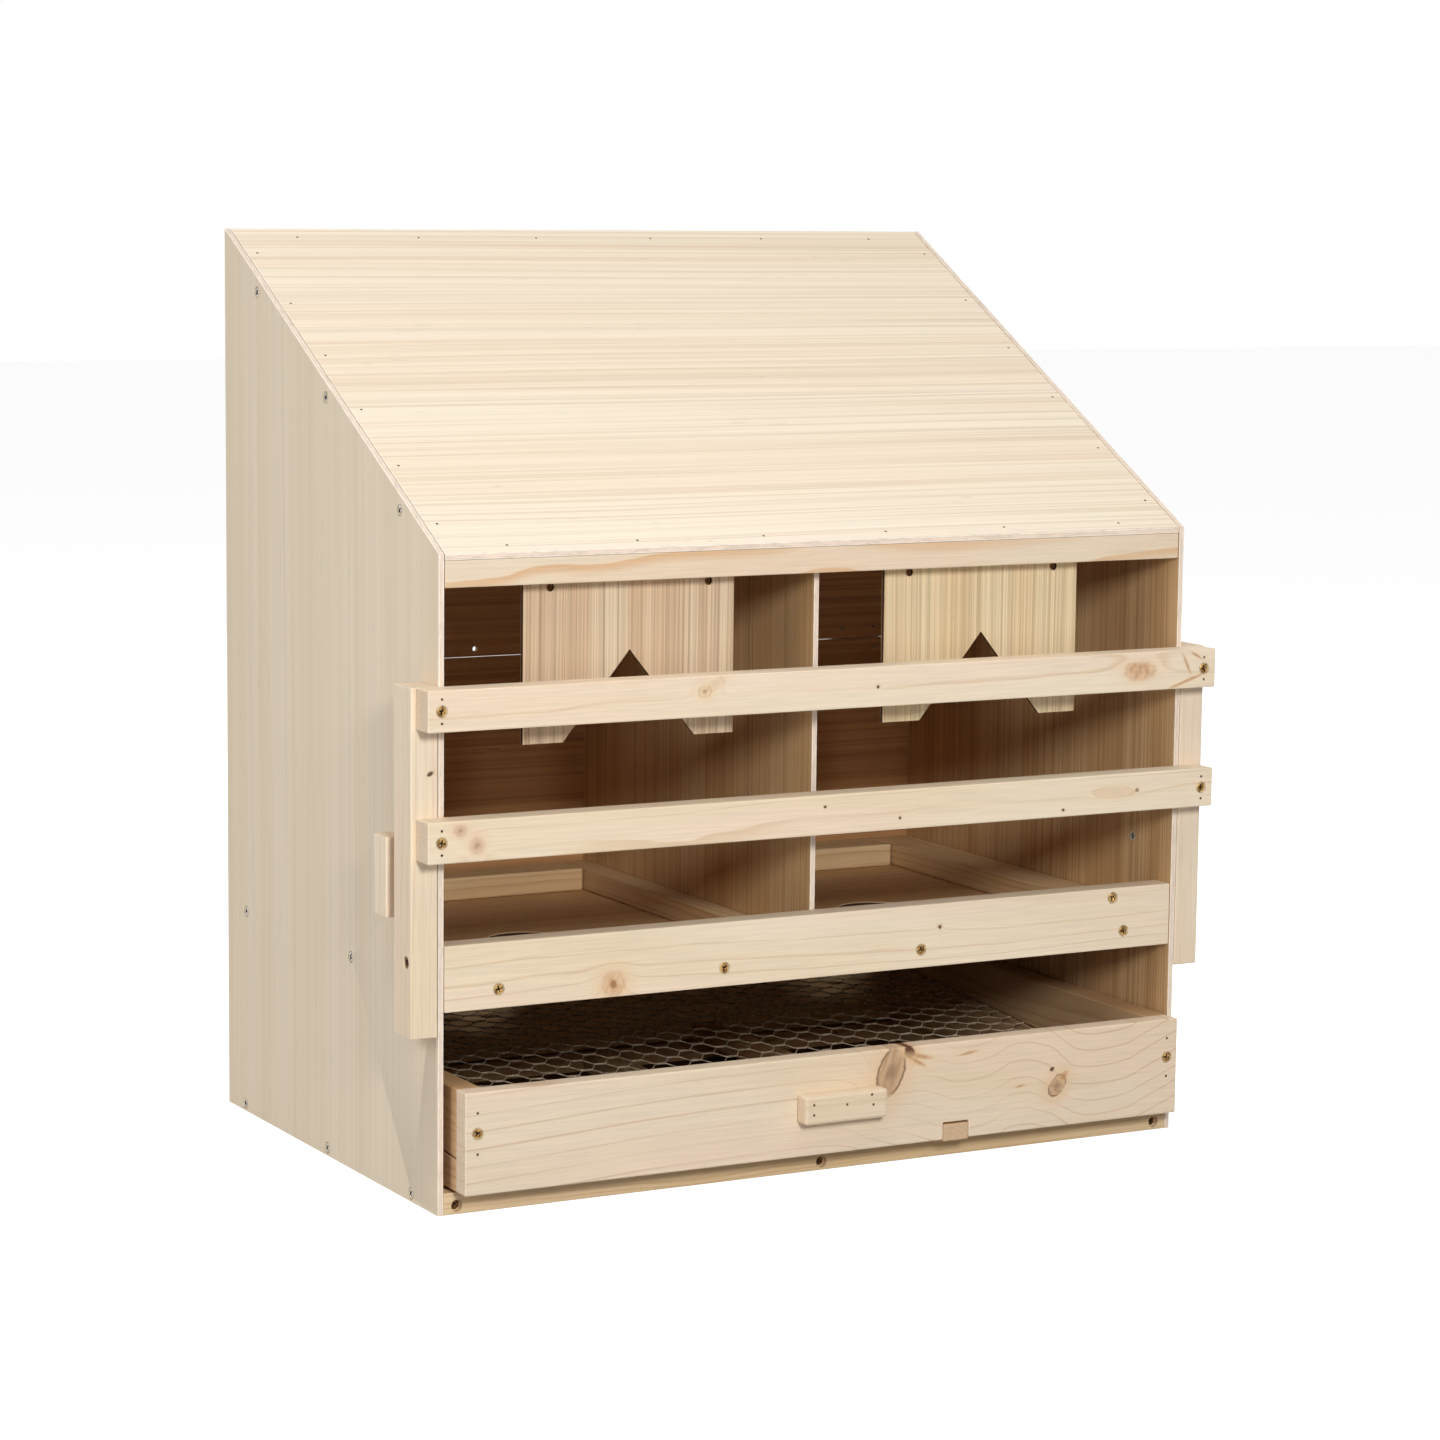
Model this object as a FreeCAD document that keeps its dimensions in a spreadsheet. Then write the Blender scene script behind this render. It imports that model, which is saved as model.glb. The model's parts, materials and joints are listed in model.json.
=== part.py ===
import FreeCAD, Part
import Sketcher
import math
import os
import re

# Chicken nesting box with two nests side by side, a sloping roof, a fold-down perch frame, a
# roll-away egg drawer under the nests and a door in the upper half of the rear wall.
# Frame: millimetres, +Z up, the front faces -Y, and the origin is on the floor at the middle of
# the side panels' footprint.

SIZES = (
    # Carcass
    ("box_width", 590, "outside width over the side panels"),
    ("box_depth", 378, "side panel from front edge to rear edge"),
    ("back_height", 650, "side panel at its rear edge"),
    ("front_height", 444, "side panel at its front edge"),
    ("ply", 4, "thickness of the plywood panels"),
    ("board_thickness", 18, "front board and lintel"),
    ("lintel_height", 18, "front face of the lintel"),
    ("roof_batten_width", 18, "roof batten, across the box"),
    ("roof_batten_depth", 18, "roof batten, square to the roof"),
    ("rear_rail_thickness", 18, "rear top rail, front to back"),
    ("rear_rail_height", 28, "rear face of the rear top rail"),
    # Curtains
    ("curtain_width", 160, "curtain from side to side"),
    ("curtain_hang", 109.5, "curtain below the lintel"),
    ("curtain_top_gap", 3.8, "curtain's top edge to the roof, behind the lintel"),
    ("left_curtain_offset", 66, "left curtain from the left side panel"),
    ("right_curtain_offset", 76, "right curtain from the right side panel"),
    ("notch_width", 100, "V notch at the curtain's lower edge"),
    ("notch_height", 61, "V notch from the lower edge to its tip"),
    ("curtain_hole", 6, "diameter of the curtain's holes"),
    ("curtain_hole_inset", 20, "hole from the curtain's side edge"),
    ("curtain_hole_drop", 4, "hole below the lintel"),
    # Nest floors
    ("floor_level", 146.5, "top of the nest floors"),
    ("floor_batten_height", 18, "battens that lie on the floors"),
    ("side_batten_width", 36, "batten along a side panel"),
    ("centre_batten_width", 40, "batten under the divider"),
    ("rear_batten_depth", 38, "batten along the rear wall"),
    ("front_batten_depth", 36, "batten along the front board"),
    ("egg_hole", 60, "diameter of the hole in each nest floor"),
    ("egg_hole_setback", 175, "egg hole's centre from the front of the box"),
    ("front_board_height", 45, "front board from edge to edge"),
    ("front_board_drop", 8.5, "front board's lower edge below the floors"),
    # Bottom frame
    ("bottom_rail_height", 15, "front and rear rail and centre runner"),
    ("bottom_rail_thickness", 18, "front and rear rail, front to back"),
    ("runner_width", 20, "runners, across the box"),
    ("runner_height", 17, "side runners, which carry the drawer"),
    # Rear wall and door
    ("seam_height", 327, "middle of the seam between the wall's halves"),
    ("seam_gap", 0.8, "width of the seam"),
    ("door_side_gap", 1, "door to side panel"),
    ("door_top_gap", 2, "door to rear top rail"),
    ("door_rest_gap", 0.5, "closed door to the divider's rear edge"),
    ("door_hole", 4, "diameter of the hole low in the door"),
    ("door_hole_offset", 95, "door hole to the left of the middle"),
    ("door_hole_rise", 6, "door hole above the seam's middle"),
    ("hinge_length", 44, "hinge along its pin"),
    ("hinge_leaf_width", 13, "leaf from the pin's axis to its edge"),
    ("hinge_leaf_thickness", 1.2, "sheet of the leaf"),
    ("hinge_knuckle", 5.4, "outside diameter of the knuckles"),
    ("hinge_pin", 2.6, "diameter of the pin"),
    ("hinge_inset", 27, "hinge from the side panel"),
    ("hinge_play", 0.3, "end gap between knuckles, and knuckle to the other leaf"),
    ("pin_clearance", 0.05, "radial gap of a pin or pivot in its hole"),
    ("button_length", 50, "turn button, end to end"),
    ("button_width", 16, "turn button, across"),
    ("button_thickness", 8, "turn button, front to back"),
    ("button_rise", 10, "turn button's screw above the rear top rail's lower edge"),
    ("button_gap", 0.3, "turn button to the rail behind it and to its screw head"),
    # Perch frame and its stop blocks
    ("perch_thickness", 19.5, "perch bars and rails, short side of the section"),
    ("perch_width", 28, "perch bars and rails, long side of the section"),
    ("perch_clearance", 0.5, "perch frame to the side panels"),
    ("rail_setback", 3.5, "rail's end from the bar's outer face"),
    ("perch_screw_inset", 13.5, "perch screws and brads from the bar's outer face"),
    ("perch_tail", 51, "bar below the pivot"),
    ("perch_reach", 184, "bar above the pivot"),
    ("rail_spacing", 87, "upper rail to lower rail"),
    ("pivot_rise", 26.5, "pivot above the floors"),
    ("pivot_setback", 7, "pivot behind the front of the box"),
    ("stop_block_rise", 24.5, "stop block's underside above the pivot"),
    ("stop_block_height", 54.5, "stop block, upright"),
    ("stop_block_depth", 21, "stop block, front to back"),
    ("stop_block_thickness", 20, "stop block, across the box"),
    ("stop_block_setback", 40, "stop block behind the front of the box"),
    # Egg drawer
    ("drawer_side_gap", 6, "drawer to side panel"),
    ("drawer_height", 70, "drawer from edge to edge"),
    ("drawer_front_thickness", 15, "drawer front"),
    ("drawer_board_thickness", 18, "drawer sides and back"),
    ("drawer_front_gap", 7, "drawer front's rear face ahead of the box"),
    ("drawer_rear_gap", 1, "closed drawer to the rear wall"),
    ("drawer_run_gap", 0.3, "drawer above its runners"),
    ("net_height", 22, "netting above the drawer's lower edge, at the front"),
    ("net_slope", 4, "fall of the netting towards the front, in degrees"),
    ("net_thickness", 1, "netting sheet"),
    ("net_cell", 26, "netting cell across its flats"),
    ("net_wire", 1.2, "netting wire between two cells"),
    ("net_inset", 3, "netting's edge inside the drawer side's outer face"),
    ("tie_width", 21, "tie batten, across"),
    ("tie_height", 12.5, "tie batten, upright"),
    ("tie_drop", 1.4, "tie batten below the drawer's lower edge"),
    ("tie_gap", 1.2, "notch above the tie batten"),
    ("tie_offset", 97, "tie batten to the right of the middle"),
    ("handle_width", 66, "handle block, across"),
    ("handle_height", 20.5, "handle block, upright"),
    ("handle_thickness", 13, "handle block, front to back"),
    # Fasteners
    ("screw_diameter", 3.5, "wood screw's shank"),
    ("screw_head", 7, "wood screw's countersunk head"),
    ("screw_fit", 0.05, "radial gap of a screw in its hole"),
    ("side_screw_length", 17, "screws through the side panels"),
    ("board_screw_length", 32, "screws through the front board"),
    ("short_screw_length", 14, "spare board screw and curtain screws"),
    ("rail_screw_length", 34, "screws through bottom rail, perch rails and drawer boards"),
    ("block_screw_length", 18, "screws into the stop blocks"),
    ("roof_screw_depth", 9, "slope screws below the roof's face"),
    ("floor_screw_rise", 4.5, "screws into the floor battens, above the floors"),
    ("floor_screw_front", 146.5, "forward floor batten screw from the front"),
    ("floor_screw_rear", 37, "rear floor batten screw from the rear"),
    ("runner_screw_height", 6, "screws into the runners, above the ground"),
    ("runner_screw_front", 44, "forward runner screw from the front"),
    ("runner_screw_rear", 33, "rear runner screw from the rear"),
    ("board_screw_side", 40.5, "outer board screws from the side panels"),
    ("board_screw_centre", 77, "inner board screws from the divider's faces"),
    ("spare_screw_side", 50.5, "spare board screw from the right side panel"),
    ("spare_screw_rise", 38, "spare board screw above the board's lower edge"),
    ("counterbore", 8.4, "diameter of the sunk holes in the bottom rail"),
    ("counterbore_depth", 4, "depth of the sunk holes in the bottom rail"),
    ("block_screw_spacing", 28, "between a stop block's two screws"),
    ("curtain_screw_spacing", 100, "between a curtain's two screws"),
    ("drawer_screw_rise", 42, "drawer front screw above the lower edge"),
    ("pivot_diameter", 4, "shank of pivot and button screws"),
    ("pivot_head", 8, "head of pivot and button screws"),
    ("pivot_head_height", 2.6, "thickness of those heads"),
    ("pivot_length", 38, "pivot screw under its head"),
    ("pivot_sink", 3.6, "depth of the pocket for the pivot screw's head"),
    ("head_gap", 0.3, "pivot screw's head to its pocket"),
    ("button_screw_length", 22, "button screw under its head"),
    ("hinge_screw", 2.6, "hinge screw's shank"),
    ("hinge_screw_head", 4.6, "hinge screw's head"),
    ("hinge_screw_length", 9, "hinge screw, which shows inside the wall"),
    ("hinge_screw_spacing", 28, "between a leaf's two screws"),
    ("brad_diameter", 1.4, "brads"),
    ("brad_length", 20, "brads in panels and drawer"),
    ("perch_brad_length", 32, "brads through the perch rails"),
    ("brad_inset", 7, "brads from the roof's front edge and the rear top rail's front"),
    ("perch_brad_spacing", 8, "brad above or below a perch screw"),
    ("drawer_brad_spacing", 14, "brad above or below a drawer screw"),
)

doc = FreeCAD.newDocument("NestingBox")
sheet = doc.addObject("Spreadsheet::Sheet", "Sizes")
for row, (alias, amount, meaning) in enumerate(SIZES, start=1):
    sheet.set(f"A{row}", meaning)
    sheet.set(f"B{row}", str(amount))
    sheet.setAlias(f"B{row}", alias)
doc.recompute()

ALIASES = {alias for alias, amount, meaning in SIZES}
WORD = re.compile(r"[a-z][a-z_]*")
NODES = {}
BACKWARD = (0, 1, 0)
FORWARD = (0, -1, 0)
SIDES = (("left", -1), ("right", 1))

# Brads in the handle block, as shares of its width and height from its middle
HANDLE_BRADS = ((-0.4, 0.2), (-0.4, -0.15), (0, 0.1), (0.3, 0.35), (0.32, 0))

# Places that several pieces share, as expressions on the sheet's sizes
LEFT = "(-box_width / 2)"
LEFT_INNER = "(-box_width / 2 + ply)"
INNER_WIDTH = "(box_width - 2 * ply)"
FRONT = "(-box_depth / 2)"
REAR = "(box_depth / 2)"
REAR_INNER = "(box_depth / 2 - ply)"
BOARD_BACK = "(-box_depth / 2 + board_thickness)"
REAR_RAIL_FRONT = "(box_depth / 2 - rear_rail_thickness)"
SLOPE = "((back_height - front_height) / box_depth)"
SLANT = f"sqrt(1 + {SLOPE}^2)"
BATTEN_TOP = "(floor_level + floor_batten_height)"
BOARD_BASE = "(floor_level - front_board_drop)"
PIVOT_HEIGHT = "(floor_level + pivot_rise)"
PIVOT_Y = f"({FRONT} + pivot_setback)"
DRAWER_BASE = "(runner_height + drawer_run_gap)"
DRAWER_WIDTH = f"({INNER_WIDTH} - 2 * drawer_side_gap)"
DRAWER_FACE = f"({FRONT} - drawer_front_gap)"
DRAWER_REAR = f"({REAR_INNER} - drawer_rear_gap)"
DRAWER_BACK_FACE = f"({DRAWER_REAR} - drawer_board_thickness)"
HINGE_Y = "(box_depth / 2 + hinge_knuckle / 2)"
SEAM_TOP = "(seam_height + seam_gap / 2)"
SEAM_BOTTOM = "(seam_height - seam_gap / 2)"
LEAF_EDGE = "(hinge_knuckle / 2 + hinge_play)"
HINGE_X = "(box_width / 2 - ply - hinge_inset - hinge_length / 2)"
PIVOT_SEAT = "(box_width / 2 + perch_clearance + perch_thickness - pivot_sink)"


def roof_face(y):
    """Height of the roof's upper face at a depth."""
    return f"(front_height + {SLOPE} * (({y}) - {FRONT}))"


def roof_underside(y):
    """Height of the roof's lower face at a depth."""
    return f"({roof_face(y)} - ply * {SLANT})"


def net_face(y):
    """Height of the netting's lower face at a depth."""
    return f"({DRAWER_BASE} + net_height + tan(net_slope) * (({y}) - {DRAWER_FACE}))"


def net_top(y):
    """Height of the netting's upper face at a depth."""
    return f"({net_face(y)} + net_thickness / cos(net_slope))"


LINTEL_BASE = f"({roof_underside(FRONT)} - lintel_height)"
REAR_RAIL_BASE = f"({roof_underside(REAR)} - rear_rail_height)"
BUTTON_HEIGHT = f"({REAR_RAIL_BASE} + button_rise)"
CURTAIN_TOP = f"({roof_underside(BOARD_BACK)} - curtain_top_gap)"


def on_sheet(text):
    """The same expression with each size read from the sheet."""
    return WORD.sub(lambda hit: f"Sizes.{hit[0]}" if hit[0] in ALIASES else hit[0], text)


def number(text):
    """Value of an expression on the sheet's sizes."""
    return float(sheet.evalExpression(on_sheet(text)))


def point(x, y, z):
    """Vector from three expressions."""
    return FreeCAD.Vector(number(x), number(y), number(z))


def span(start, end):
    """Start and length of a stretch from its two ends."""
    return start, f"({end}) - ({start})"


def on_side(sign, stretch):
    """A stretch written for the left side (-1), or its mirror image on the right (1)."""
    start, length = stretch
    return (start, length) if sign < 0 else (f"-({start}) - ({length})", length)


def node(name, piece):
    """Name a finished sub-part."""
    piece.Label = name
    NODES[name] = piece
    return piece


def block(name, x, y, z):
    """Straight batten or board: a stretch of start and length along each axis."""
    piece = doc.addObject("Part::Box", name)
    for size, axis, (start, length) in (("Length", "x", x), ("Width", "y", y), ("Height", "z", z)):
        piece.setExpression(size, on_sheet(length))
        piece.setExpression(f"Placement.Base.{axis}", on_sheet(start))
    return piece


def plate(name, plane, outline, stretch, holes=()):
    """Outline of straight edges, with round holes, padded along the axis that the plane leaves out.

    The stretch gives where the pad starts and its length. Holes are (x, y, diameter).
    """
    body = doc.addObject("PartDesign::Body", name)
    sketch = body.newObject("Sketcher::SketchObject", f"{name}_outline")
    support = [item for item in body.Origin.OriginFeatures if item.Role == f"{plane}_Plane"]
    sketch.AttachmentSupport = [(support[0], "")]
    sketch.MapMode = "FlatFace"
    corners = [FreeCAD.Vector(number(x), number(y), 0) for x, y in outline]
    count = len(corners)
    for index, corner in enumerate(corners):
        sketch.addGeometry(Part.LineSegment(corner, corners[(index + 1) % count]), False)
    for index in range(count):
        sketch.addConstraint(Sketcher.Constraint("Coincident", index, 2, (index + 1) % count, 1))
    placed = [(index, 1, x, y) for index, (x, y) in enumerate(outline)]
    for x, y, diameter in holes:
        centre = FreeCAD.Vector(number(x), number(y), 0)
        circle = Part.Circle(centre, FreeCAD.Vector(0, 0, 1), number(diameter) / 2)
        index = sketch.addGeometry(circle, False)
        rule = sketch.addConstraint(Sketcher.Constraint("Diameter", index, number(diameter)))
        sketch.setExpression(f"Constraints[{rule}]", on_sheet(diameter))
        placed.append((index, 3, x, y))
    for index, end, x, y in placed:
        for kind, text in (("DistanceX", x), ("DistanceY", y)):
            rule = sketch.addConstraint(Sketcher.Constraint(kind, -1, 1, index, end, number(text)))
            sketch.setExpression(f"Constraints[{rule}]", on_sheet(text))
    pad = body.newObject("PartDesign::Pad", f"{name}_pad")
    pad.Profile = sketch
    pad.Reversed = plane == "XZ"
    start, length = stretch
    pad.setExpression("Length", on_sheet(length))
    axis = {"YZ": "x", "XZ": "y", "XY": "z"}[plane]
    body.setExpression(f"Placement.Base.{axis}", on_sheet(start))
    return body


def turned(profile):
    """Solid of revolution about Z from (radius, height) corners."""
    corners = [FreeCAD.Vector(radius, 0, height) for radius, height in profile]
    face = Part.Face(Part.makePolygon(corners + corners[:1]))
    return face.revolve(FreeCAD.Vector(0, 0, 0), FreeCAD.Vector(0, 0, 1), 360)


def aimed(shape, place, direction):
    """Copy of a fastener that points down, moved to a place and pointed along a direction."""
    copy = shape.copy()
    down = FreeCAD.Vector(0, 0, -1)
    copy.Placement = FreeCAD.Placement(place, FreeCAD.Rotation(down, FreeCAD.Vector(*direction)))
    return copy


def group(name, shapes):
    """Separate solids kept together as one object."""
    piece = doc.addObject("Part::Feature", name)
    piece.Shape = Part.makeCompound(shapes)
    return piece


def countersunk(shank, head, length, gap=0.0, mouth=0.0):
    """Countersunk screw with its head's face at z = 0.

    With a gap it is the hole for that screw, and the mouth is a straight stretch above the head.
    """
    radius = shank / 2 + gap
    rim = head / 2 + gap
    tip = -length - gap
    profile = [(0, mouth), (rim, mouth), (rim, 0), (radius, radius - rim), (radius, tip), (0, tip)]
    if mouth == 0:
        del profile[1]
    return turned(profile)


def headed(shank, head, head_height, length):
    """Flat-headed screw with the underside of its head at z = 0."""
    under = [(head / 2, 0), (shank / 2, 0), (shank / 2, -length), (0, -length)]
    return turned([(0, head_height), (head / 2, head_height)] + under)


def stepped_hole(shank, head, depth, mouth):
    """Hole for a flat-headed screw: a bore below z = 0 and a wider pocket above it."""
    under = [(head / 2, 0), (shank / 2, 0), (shank / 2, -depth), (0, -depth)]
    return turned([(0, mouth), (head / 2, mouth)] + under)


def rod(name, radius, x, stretch, z):
    """Round bar along Y: its radius, where its axis lies and the stretch that it fills."""
    piece = doc.addObject("Part::Cylinder", name)
    piece.Placement.Rotation = FreeCAD.Rotation(FreeCAD.Vector(0, 0, 1), FreeCAD.Vector(*BACKWARD))
    start, length = stretch
    piece.setExpression("Radius", on_sheet(radius))
    piece.setExpression("Height", on_sheet(length))
    for axis, value in (("x", x), ("y", start), ("z", z)):
        piece.setExpression(f"Placement.Base.{axis}", on_sheet(value))
    return piece


def screws(name, places):
    """Named group of wood screws at (place, direction, length), and the holes that they need."""
    shank = number("screw_diameter")
    head = number("screw_head")
    gap = number("screw_fit")
    solids = []
    holes = []
    for place, direction, length in places:
        solids.append(aimed(countersunk(shank, head, number(length)), place, direction))
        holes.append(aimed(countersunk(shank, head, number(length), gap, head), place, direction))
    node(name, group(name, solids))
    return group(f"{name}_holes", holes)


def brads(name, length, places):
    """Named group of brads, heads flush with the wood at (place, direction)."""
    radius = number("brad_diameter") / 2
    tip = -number(length)
    brad = turned([(0, 0), (radius, 0), (radius, tip), (0, tip)])
    return node(name, group(name, [aimed(brad, *place) for place in places]))


def drilled(name, blank, *tools):
    """Finished sub-part: a blank with the given holes cut out of it."""
    piece = blank
    for count, tool in enumerate(tools):
        cut = doc.addObject("Part::Cut", f"{name}_cut_{count}")
        cut.Base = piece
        cut.Tool = tool
        doc.recompute()
        if not cut.Shape.Volume < piece.Shape.Volume:
            raise ValueError(f"{name}: cut {count} removes nothing")
        piece = cut
    return node(name, piece)


def side_panel_screws():
    """Screws through both side panels: along the slope, into the floor battens and the runners."""
    rows = []
    for share in ("1 / 6", "1 / 2", "5 / 6"):
        y = f"({FRONT} + box_depth * {share})"
        rows.append((y, f"{roof_face(y)} - roof_screw_depth * {SLANT}"))
    for y in (f"{FRONT} + floor_screw_front", f"{REAR} - floor_screw_rear"):
        rows.append((y, "floor_level + floor_screw_rise"))
    for y in (f"{FRONT} + runner_screw_front", "0", f"{REAR} - runner_screw_rear"):
        rows.append((y, "runner_screw_height"))
    places = []
    for side, sign in SIDES:
        for y, z in rows:
            place = point(f"{sign} * box_width / 2", y, z)
            places.append((place, (-sign, 0, 0), "side_screw_length"))
    return screws("side_panel_screws", places)


def stop_block_screws():
    """Screws from inside the side panels into the stop blocks."""
    y = f"{FRONT} + stop_block_setback + stop_block_depth / 2"
    middle = f"{PIVOT_HEIGHT} + stop_block_rise + stop_block_height / 2"
    places = []
    for side, sign in SIDES:
        for half in ("- 1 / 2", "+ 1 / 2"):
            place = point(f"{sign} * (box_width / 2 - ply)", y, f"{middle} {half} * block_screw_spacing")
            places.append((place, (sign, 0, 0), "block_screw_length"))
    return screws("stop_block_screws", places)


def pivot_holes(name, radius, sign):
    """Hole on the perch's axis, from the pivot screw's head seat to its tip."""
    seat = point(f"{sign} * {PIVOT_SEAT}", PIVOT_Y, PIVOT_HEIGHT)
    pocket = number("pivot_head + 2 * head_gap")
    depth = number("pivot_length + screw_fit")
    tool = stepped_hole(2 * number(radius), pocket, depth, number("2 * pivot_sink"))
    return group(name, [aimed(tool, seat, (-sign, 0, 0))])


def pivot_screws():
    """The two screws that the perch frame turns on, held in the ends of the front board."""
    sizes = ("pivot_diameter", "pivot_head", "pivot_head_height", "pivot_length")
    screw = headed(*map(number, sizes))
    solids = []
    for side, sign in SIDES:
        seat = point(f"{sign} * ({PIVOT_SEAT} + head_gap)", PIVOT_Y, PIVOT_HEIGHT)
        solids.append(aimed(screw, seat, (-sign, 0, 0)))
    node("perch_pivot_screws", group("perch_pivot_screws", solids))


def shell():
    """Side panels with their stop blocks, roof, roof battens, rear top rail and divider.

    Returns the holes of the side panels' screws, for the battens and runners that they enter.
    """
    panel_holes = side_panel_screws()
    block_holes = stop_block_screws()
    outline = [(FRONT, "0"), (REAR, "0"), (REAR, "back_height"), (FRONT, "front_height")]
    depth = f"roof_batten_depth * {SLANT}"
    near = roof_underside(BOARD_BACK)
    far = roof_underside(REAR_RAIL_FRONT)
    slanted = [
        (BOARD_BACK, f"{near} - {depth}"),
        (REAR_RAIL_FRONT, f"{far} - {depth}"),
        (REAR_RAIL_FRONT, far),
        (BOARD_BACK, near),
    ]
    for side, sign in SIDES:
        panel = plate(f"{side}_panel_blank", "YZ", outline, on_side(sign, (LEFT, "ply")))
        pivot = pivot_holes(f"{side}_panel_pivot_hole", "pivot_diameter / 2 + screw_fit", sign)
        drilled(f"{side}_side_panel", panel, panel_holes, block_holes, pivot)
        stop = block(
            f"{side}_stop_blank",
            on_side(sign, (f"{LEFT} - stop_block_thickness", "stop_block_thickness")),
            (f"{FRONT} + stop_block_setback", "stop_block_depth"),
            (f"{PIVOT_HEIGHT} + stop_block_rise", "stop_block_height"),
        )
        drilled(f"{side}_stop_block", stop, block_holes)
        stretch = on_side(sign, (LEFT_INNER, "roof_batten_width"))
        batten = plate(f"{side}_roof_batten_blank", "YZ", slanted, stretch)
        drilled(f"{side}_roof_batten", batten, panel_holes)
    roof = [
        (FRONT, roof_underside(FRONT)),
        (REAR, roof_underside(REAR)),
        (REAR, "back_height"),
        (FRONT, "front_height"),
    ]
    node("roof_panel", plate("roof_panel", "YZ", roof, (LEFT_INNER, INNER_WIDTH)))
    rail = [
        (REAR_RAIL_FRONT, REAR_RAIL_BASE),
        (REAR, REAR_RAIL_BASE),
        (REAR, roof_underside(REAR)),
        (REAR_RAIL_FRONT, far),
    ]
    rail_blank = plate("rear_rail_blank", "YZ", rail, (LEFT_INNER, INNER_WIDTH))
    drilled("rear_top_rail", rail_blank, button_screw())
    divider_rear = f"{REAR_INNER} - door_rest_gap"
    divider = [
        (BOARD_BACK, BATTEN_TOP),
        (divider_rear, BATTEN_TOP),
        (divider_rear, REAR_RAIL_BASE),
        (REAR_RAIL_FRONT, REAR_RAIL_BASE),
        (REAR_RAIL_FRONT, far),
        (BOARD_BACK, near),
    ]
    node("centre_divider", plate("centre_divider", "YZ", divider, ("-ply / 2", "ply")))
    return panel_holes


def curtains():
    """Lintel and the two notched curtains that hang behind it."""
    starts = (
        ("left", f"({LEFT_INNER} + left_curtain_offset)"),
        ("right", f"(-{LEFT_INNER} - right_curtain_offset - curtain_width)"),
    )
    places = []
    for side, start in starts:
        for half in ("- 1 / 2", "+ 1 / 2"):
            x = f"{start} + curtain_width / 2 {half} * curtain_screw_spacing"
            place = point(x, f"{BOARD_BACK} + ply", f"({LINTEL_BASE} + {CURTAIN_TOP}) / 2")
            places.append((place, FORWARD, "short_screw_length"))
    holes = screws("curtain_screws", places)
    lintel = [
        (FRONT, LINTEL_BASE),
        (BOARD_BACK, LINTEL_BASE),
        (BOARD_BACK, roof_underside(BOARD_BACK)),
        (FRONT, roof_underside(FRONT)),
    ]
    drilled("front_lintel", plate("lintel_blank", "YZ", lintel, (LEFT_INNER, INNER_WIDTH)), holes)
    low = f"{LINTEL_BASE} - curtain_hang"
    for side, start in starts:
        middle = f"({start} + curtain_width / 2)"
        end = f"({start} + curtain_width)"
        outline = [
            (start, low),
            (f"{middle} - notch_width / 2", low),
            (middle, f"{low} + notch_height"),
            (f"{middle} + notch_width / 2", low),
            (end, low),
            (end, CURTAIN_TOP),
            (start, CURTAIN_TOP),
        ]
        hole_height = f"{LINTEL_BASE} - curtain_hole_drop"
        rounds = [
            (f"{start} + curtain_hole_inset", hole_height, "curtain_hole"),
            (f"{end} - curtain_hole_inset", hole_height, "curtain_hole"),
        ]
        blank = plate(f"{side}_curtain_blank", "XZ", outline, (BOARD_BACK, "ply"), rounds)
        drilled(f"{side}_curtain", blank, holes)


def front_board():
    """Board across both nests, with its screws and the two pivot holes; returns the screw holes."""
    level = "floor_level + floor_screw_rise"
    places = []
    for x in ("box_width / 2 - ply - board_screw_side", "ply / 2 + board_screw_centre"):
        for side, sign in SIDES:
            places.append((point(f"{sign} * ({x})", FRONT, level), BACKWARD, "board_screw_length"))
    spare = point("box_width / 2 - ply - spare_screw_side", FRONT, f"{BOARD_BASE} + spare_screw_rise")
    places.append((spare, BACKWARD, "short_screw_length"))
    holes = screws("front_board_screws", places)
    blank = block(
        "front_board_blank",
        (LEFT_INNER, INNER_WIDTH),
        (FRONT, "board_thickness"),
        (BOARD_BASE, "front_board_height"),
    )
    pivots = [
        pivot_holes(f"{side}_board_pivot_hole", "pivot_diameter / 2 + screw_fit", sign)
        for side, sign in SIDES
    ]
    drilled("front_board", blank, holes, *pivots)
    return holes


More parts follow.
